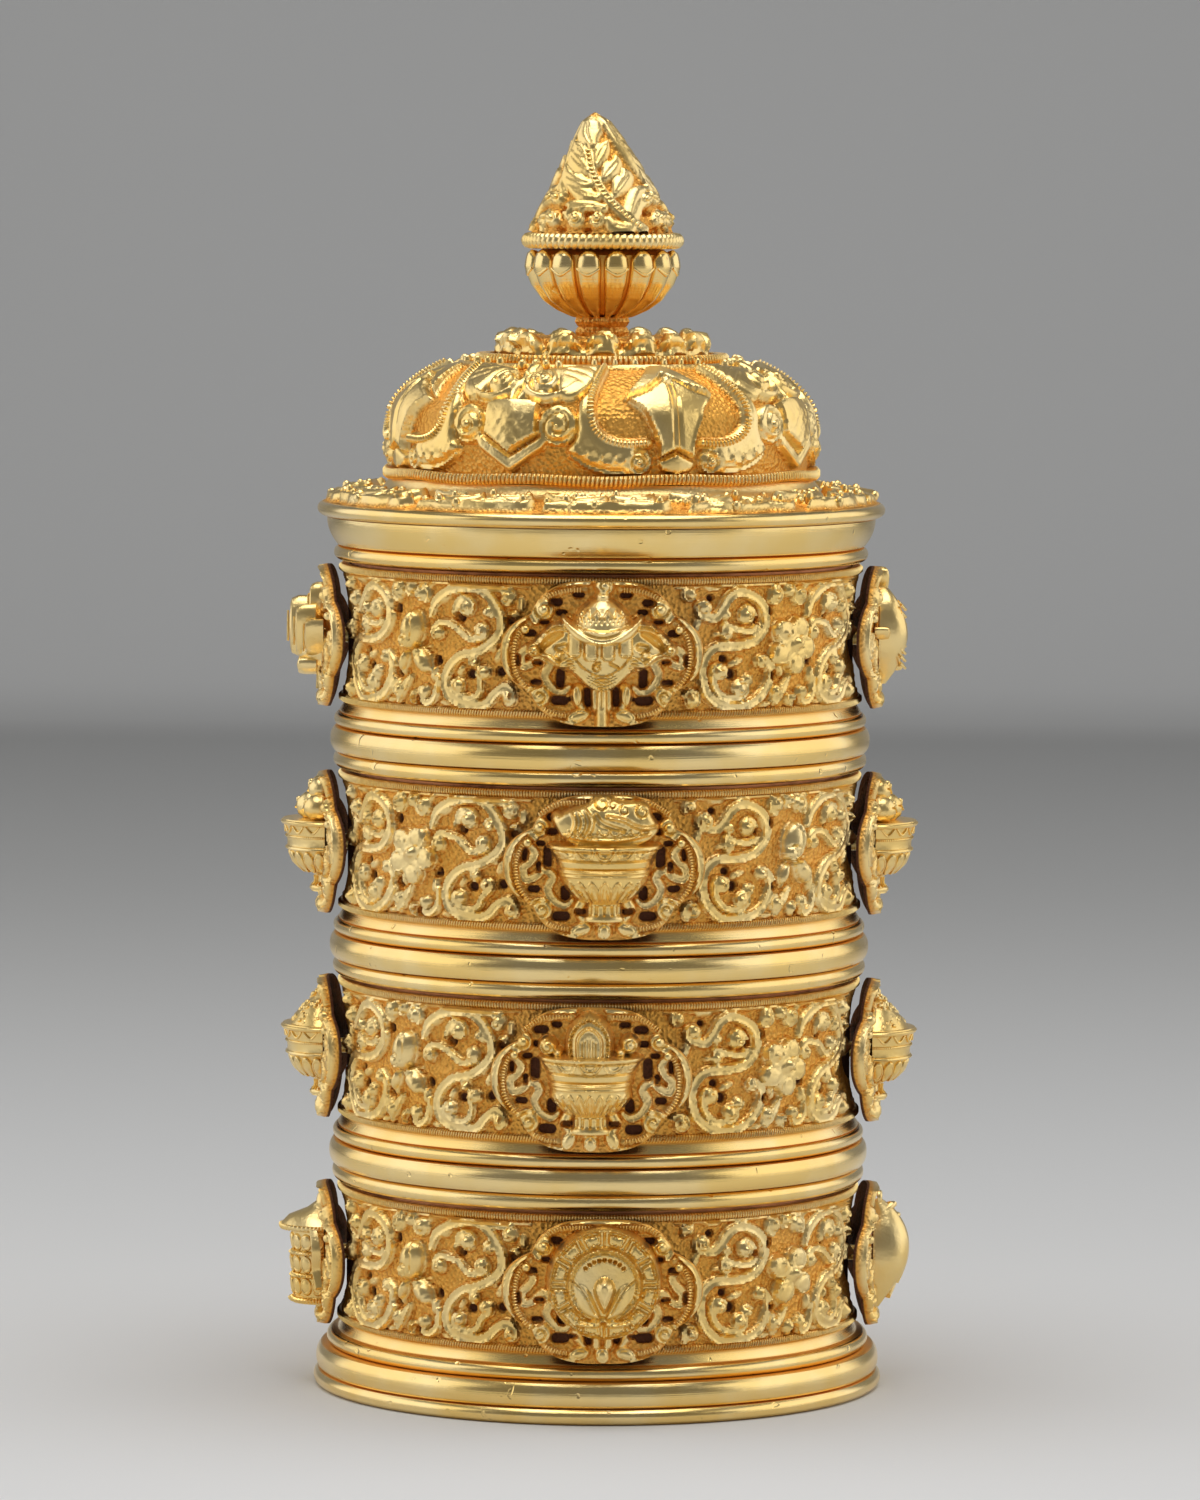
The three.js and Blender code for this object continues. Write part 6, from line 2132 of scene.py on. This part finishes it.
def victory_banner(relief):
    outline = [
        (0, -8.0), (4.4, -8.0), (4.6, -7.4), (4.2, -6.9), (4.5, -3.8), (4.2, -3.4), (4.6, -0.2), (4.2, 0.2),
        (4.6, 3.4),
    ]
    outline += [
        (5.8, 3.8), (6.0, 4.6), (5.0, 5.8), (2.4, 7.0), (1.2, 8.0), (1.0, 9.0), (0.5, 9.9), (0, 10.0),
    ]
    on_side, widest = turned_symbol(relief, outline)
    drawing = Relief()
    for y in (-7.4, -3.6, 0.0, 4.2):
        band_line(drawing, widest, y, 0.42, 0.6)
    for y in (-5.3, -1.8, 1.8):
        petals_round(drawing, widest, y, 1.4, 8)
    drawn_on(relief, on_side, drawing)
    for side in (1, -1):
        fall = [
            (side * 5.6, 4.0, 2.2, 0.6), (side * 7.0, 1.0, 1.6, 0.8), (side * 5.8, -2.0, 1.6, 0.8),
            (side * 7.0, -5.0, 1.2, 0.6),
        ]
        relief.stroke("lined", smooth_line(fall))


# Symbols of each tier's medallions at the front, right, back and left; the front ones are in FIGURES.
TIER_SYMBOLS = [
    [None, conch, endless_knot, victory_banner],
    [None, rice_heap, fruit_heap, rice_heap],
    [None, fruit_heap, rice_heap, fruit_heap],
    [None, fish, treasure_vase, lotus],
]


def build_medallion(index, quarter):
    title = f"tier_{index + 1}"
    symbol = TIER_SYMBOLS[index][quarter]
    relief = Relief()
    medallion_ground(relief, index, FIGURES[index] if quarter == 0 else None)

    def bent(x, y, z):
        return Vector((x, z - (MEDALLION_BACK - math.sqrt(MEDALLION_BACK**2 - x * x)), y))

    def rigid(x, y, z):
        return Vector((x, z, y))

    mesh = relief.wrapped(bent)
    if symbol:
        figure = Relief()
        symbol(figure)
        joined(mesh, figure.wrapped(rigid))
    layer = mesh.verts.layers.float["relief"]
    for vert in mesh.verts:
        # Relief from the depth: the ground is painted with shade, and below it the holes fall fast to
        # nearly black as painted shadow.
        depth = vert.co.y + (MEDALLION_BACK - math.sqrt(max(MEDALLION_BACK**2 - vert.co.x**2, 0)))
        vert[layer] = (depth - 0.6) * (0.7 if depth > 0.6 else 2.4)
        vert.co.y = -(MEDALLION_BACK + vert.co.y)
    stud = new_mesh()
    for radius, low, high in ((1.2, 37.0, 43.2), (2.2, 36.8, 37.5)):
        ring(
            stud, [(0, low), (radius - 0.2, low), (radius, low + 0.2), (radius, high - 0.2), (0, high)], 24,
            closed=False,
        )
    bmesh.ops.rotate(stud, verts=stud.verts, matrix=Matrix.Rotation(math.radians(90), 3, "X"))
    joined(mesh, stud)
    bmesh.ops.translate(mesh, verts=mesh.verts, vec=(0, 0, MEDALLION_CENTRE))
    bmesh.ops.rotate(mesh, verts=mesh.verts, matrix=Matrix.Rotation(math.radians(90 * quarter), 3, "Z"))
    name = f"{title}_medallion_{SIDES[quarter]}"
    placed = {"body": title, "seat": index * TIER_HEIGHT, "turn": TIER_TURNS[index]}
    finished(f"{name}_cast", mesh, MATT, name, **placed)


for tier_index in range(len(TIER_TURNS)):
    build_tier(tier_index)
    for quarter in range(4):
        build_medallion(tier_index, quarter)
build_lid()


def build_stage():
    """A pale floor that sweeps up into a grey backdrop; the floor is painted darker towards the back as
    painted shade.
    """
    finish = Finish("studio_paper")
    place = finish.place()
    apart = finish.node("ShaderNodeSeparateXYZ", inputs={0: place}, output="Y")
    near = (0.95, 0.95, 0.95, 1)
    far = (0.40, 0.40, 0.395, 1)
    wall = (0.64, 0.64, 0.635, 1)
    # Painted shade: pale at the front, dark grey behind the pot.
    ground = finish.blend(finish.span(apart, -0.8, 0.9), near, far)
    colour = finish.blend(finish.span(apart, 1.3, 1.5), ground, wall)
    paper = finish.shade(base_color=colour, roughness=0.85)
    mesh = bmesh.new()
    half, back, bend, top = 12.0, 1.4, 0.4, 3.4
    sweep = [(-half, 0.0), (back, 0.0)]
    for step in range(1, 9):
        angle = step * TURN / 32
        sweep.append((back + bend * math.sin(angle), bend - bend * math.cos(angle)))
    sweep.append((back + bend, top))
    verts = [mesh.verts.new((-half, y, z)) for y, z in sweep]
    edges = [mesh.edges.new(pair) for pair in zip(verts, verts[1:])]
    made = bmesh.ops.extrude_edge_only(mesh, edges=edges)["geom"]
    bmesh.ops.translate(
        mesh, verts=[g for g in made if isinstance(g, bmesh.types.BMVert)], vec=(2 * half, 0, 0),
    )
    bmesh.ops.recalc_face_normals(mesh, faces=mesh.faces)
    if mesh.faces[0].normal.z < 0:
        bmesh.ops.reverse_faces(mesh, faces=mesh.faces)
    for face in mesh.faces:
        face.smooth = True
    data = bpy.data.meshes.new("studio_sweep")
    mesh.to_mesh(data)
    mesh.free()
    data.materials.append(paper)
    floor = bpy.data.objects.new("studio_sweep", data)
    collection.objects.link(floor)


POT_MIDDLE = Vector((0, 0, 0.1))


def softbox(name, place, size, radiance):
    """A lamp of even light that faces the pot's middle."""
    lamp = bpy.data.lights.new(name, "AREA")
    lamp.shape = "RECTANGLE"
    lamp.size, lamp.size_y = size
    lamp.energy = radiance * math.pi * size[0] * size[1]
    holder = bpy.data.objects.new(name, lamp)
    holder.location = place
    holder.rotation_euler = (POT_MIDDLE - Vector(place)).to_track_quat("-Z", "Y").to_euler()
    collection.objects.link(holder)


def build_light_and_camera():
    softbox("left_box", (-0.95, 0.1, 0.45), (1.6, 0.9), 0.95)
    softbox("right_box", (0.95, 0.1, 0.45), (1.6, 0.9), 0.95)
    softbox("top_box", (0, -0.1, 1.4), (1.2, 1.2), 2.7)
    world = bpy.data.worlds.new("studio_air")
    world.use_nodes = True
    world.node_tree.nodes["Background"].inputs["Color"].default_value = (0.17, 0.17, 0.17, 1)
    world.node_tree.nodes["Background"].inputs["Strength"].default_value = 1.0
    bpy.context.scene.world = world
    lens = bpy.data.cameras.new("camera")
    lens.lens = 186
    lens.sensor_width = 36
    camera = bpy.data.objects.new("camera", lens)
    camera.location = (0, -1.215, 0.195)
    aim = (POT_MIDDLE - camera.location).to_track_quat("-Z", "Y")
    camera.rotation_euler = (aim.to_matrix() @ Matrix.Rotation(math.radians(0.3), 3, "Z")).to_euler()
    collection.objects.link(camera)
    bpy.context.scene.camera = camera


build_stage()
build_light_and_camera()
bpy.context.scene.view_settings.view_transform = "Standard"
for helper in SECTIONS.values():
    bpy.data.objects.remove(helper)
